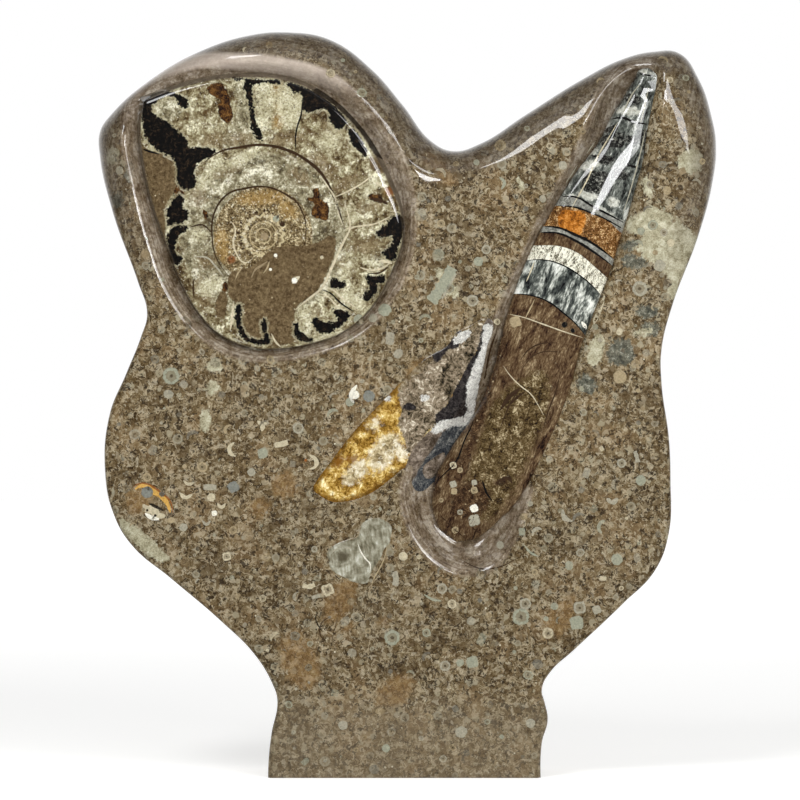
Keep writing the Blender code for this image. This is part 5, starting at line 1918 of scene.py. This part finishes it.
LISTED_STRIPS = [               # knots, width, tone, and True for blunt ends
    ([(-16.8, 131.2), (-18.2, 129.2), (-18.8, 126.9), (-17.8, 125.2)], 1.6, "white"),
    ([(-50.0, 119.2), (-48.3, 118.1), (-46.6, 119.2)], 1.6, "cream"),
    ([(-48.6, 115.8), (-48.3, 117.5), (-49.0, 118.8)], 1.7, "cream"),
    ([(-44.3, 111.1), (-41.9, 111.5), (-39.9, 112.1)], 2.0, "cream", True),
    ([(-34.9, 64.3), (-32.9, 63.9), (-30.9, 64.6)], 1.7, "cream", True),
    ([(-31.9, 60.2), (-30.6, 60.6), (-29.2, 60.9)], 1.4, "grey", True),
    ([(-4.5, 68.9), (-3.8, 66.6), (-4.1, 64.3)], 2.2, "grey", True),
    ([(-68.0, 97.1), (-66.0, 97.1), (-63.7, 97.1)], 2.0, "grey", True),
    ([(-57.7, 112.1), (-59.3, 110.5), (-59.0, 108.4), (-57.3, 107.4)], 1.5, "cream"),
    ([(-32.6, 107.8), (-30.6, 106.4), (-30.6, 104.1), (-32.6, 103.1)], 1.5, "cream"),
    ([(-74.7, 99.4), (-73.1, 98.1), (-71.1, 98.7)], 1.2, "cream"),
    ([(-76.1, 95.4), (-74.1, 93.7), (-71.7, 94.7)], 1.3, "cream"),
    ([(66.5, 93.4), (68.5, 92.0), (70.2, 93.4)], 1.8, "grey"),
    ([(51.8, 89.7), (52.4, 87.0), (55.1, 85.7)], 1.9, "grey"),
    ([(30.7, 200.5), (32.4, 198.8), (31.4, 196.5)], 1.3, "green"),
    ([(-63.4, 91.7), (-62.0, 90.4), (-60.7, 91.7)], 1.3, "cream"),
    ([(-68.4, 86.0), (-67.0, 84.7), (-65.7, 86.0)], 1.1, "grey"),
    ([(75.9, 109.1), (76.5, 107.4), (76.9, 105.4)], 1.6, "grey", True),
    ([(15.0, 170.4), (13.0, 166.7), (10.3, 162.3), (7.9, 159.0)], 4.0, "green", True),
    ([(12.6, 169.0), (9.6, 164.3), (7.3, 160.0)], 0.7, "tan", True),
    ([(16.3, 168.4), (14.0, 164.3), (11.6, 160.0)], 0.7, "grey", True),
    ([(-29.9, 55.2), (-30.6, 53.9), (-30.2, 51.9), (-28.5, 49.2)], 0.6, "black"),
    ([(-25.9, 53.9), (-28.5, 51.9), (-29.2, 48.5), (-27.2, 45.2)], 0.5, "umber"),
    ([(-6.8, 77.7), (-7.5, 74.0), (-9.1, 70.3), (-11.5, 65.9), (-12.1, 63.3)], 0.5, "tan"),
    ([(-16.5, 78.3), (-15.5, 75.6), (-13.8, 73.1), (-12.4, 71.4), (-12.5, 68.6)], 0.5, "white"),
    ([(-25.5, 75.0), (-23.9, 76.3), (-21.2, 77.0), (-18.5, 76.6)], 0.5, "grey"),
    ([(5.6, 61.3), (8.6, 59.6), (11.3, 59.2)], 0.9, "green"),
    ([(39.1, 77.7), (41.1, 75.3), (43.7, 74.0)], 0.8, "green"),
    ([(-90.8, 96.4), (-89.5, 97.4), (-87.1, 97.4), (-84.8, 95.7), (-82.1, 94.1), (-80.1, 91.7),
     (-79.1, 88.7)], 1.9, "gold"),
    ([(-91.5, 97.1), (-89.8, 98.2), (-86.8, 98.2), (-84.1, 96.7), (-81.4, 94.7), (-79.1, 92.4),
     (-78.1, 88.4)], 0.7, "rust"),
    ([(-88.1, 91.4), (-86.8, 89.7), (-84.8, 89.7), (-83.8, 88.0), (-80.8, 87.4)], 3.2, "cream"),
    ([(-86.1, 91.7), (-84.1, 90.7), (-81.4, 89.4)], 1.2, "black"),
    ([(-87.5, 88.4), (-85.4, 87.0), (-82.8, 86.4)], 1.6, "white"),
]
LISTED_DOTS = [((-86.8, 89.4), 0.45, "black"), ((-84.1, 87.7), 0.45, "black"),
               ((-33.9, 106.1), 0.5, "rust")]

bits = Inlay("stem_pieces", seed=13)
bits.clearness = 0.85           # how much of a bit shows over the mud
for middle, radius, tone, *shape in LISTED_DISCS:
    bits.disc(middle, radius, tone, *shape)
for knots, width, tone, *blunt in LISTED_STRIPS:
    bits.strip(knots, width, tone, *blunt)
for middle, radius, tone in LISTED_DOTS:
    bits.disc(middle, radius, tone)
print("placed", len(LISTED_DISCS) + len(LISTED_STRIPS), "bigger pieces")

# %% [markdown]
# ## The crowd
# Between the bigger pieces lie hundreds of small ones, at any angle and half sunk in the mud.
# They are scattered by a seeded generator, so they fall the same way each time. A place is
# kept only if it is clear of edges, fossils and the pieces that are there already.

# %% the crowd of small stem pieces
def scatter_bits(count, spacing):
    """Seeded places on the flat matrix that keep clear of edges, fossils and each other."""
    random = np.random.default_rng(21)
    tries = random.uniform((-100, 3), (102, 245), (count * 12, 2))
    clear = (inside_distance(tries, slab_line) > 3.5) & (inside_distance(tries, shell_lip) < 0.5)
    clear &= inside_distance(tries, ammonite_lip) < 1.0
    clear &= inside_distance(tries, smooth_line(SLANTED_SHELL, 2.0)) < -2.0
    clear &= inside_distance(tries, smooth_line(NODULE, 2.0)) < -2.0
    taken = [np.array(entry[0]) for entry in LISTED_DISCS]
    placed = []
    for place in tries[clear]:
        if len(placed) < count and min(np.linalg.norm(place - t) for t in taken) > spacing:
            taken.append(place)
            placed.append(place)
    return placed, random


places, random = scatter_bits(count=330, spacing=4.6)
CROWD_TONES = ["buff", "tan", "tan", "green", "green", "grey", "grey", "smoke", "smoke", "cream"]
for place in places:
    bits.clearness = random.uniform(0.3, 0.8)
    tone = CROWD_TONES[random.integers(len(CROWD_TONES))]
    kind, size, lean = random.random(), random.gamma(6.0, 0.17), random.uniform(0, 180)
    if kind < 0.62:             # beads cut across
        bits.disc(place, max(size, 0.5), tone, ringed=random.random() < 0.45, corners=2.2,
                  lean=lean, stretch=random.uniform(0.75, 1.2))
    elif kind < 0.78:           # beads cut along
        bits.disc(place, size * 0.8, tone, ringed=False, corners=5.0, lean=lean,
                  stretch=random.uniform(0.9, 1.7))
    else:                       # and crescents
        turns = np.radians(lean + np.linspace(-70, 70, 5))
        arc = np.column_stack([np.cos(turns), np.sin(turns)]) * size * 1.3
        bits.strip([tuple(place + point) for point in arc], size * 0.8, tone)
bits.build(inlaid)

# %% [markdown]
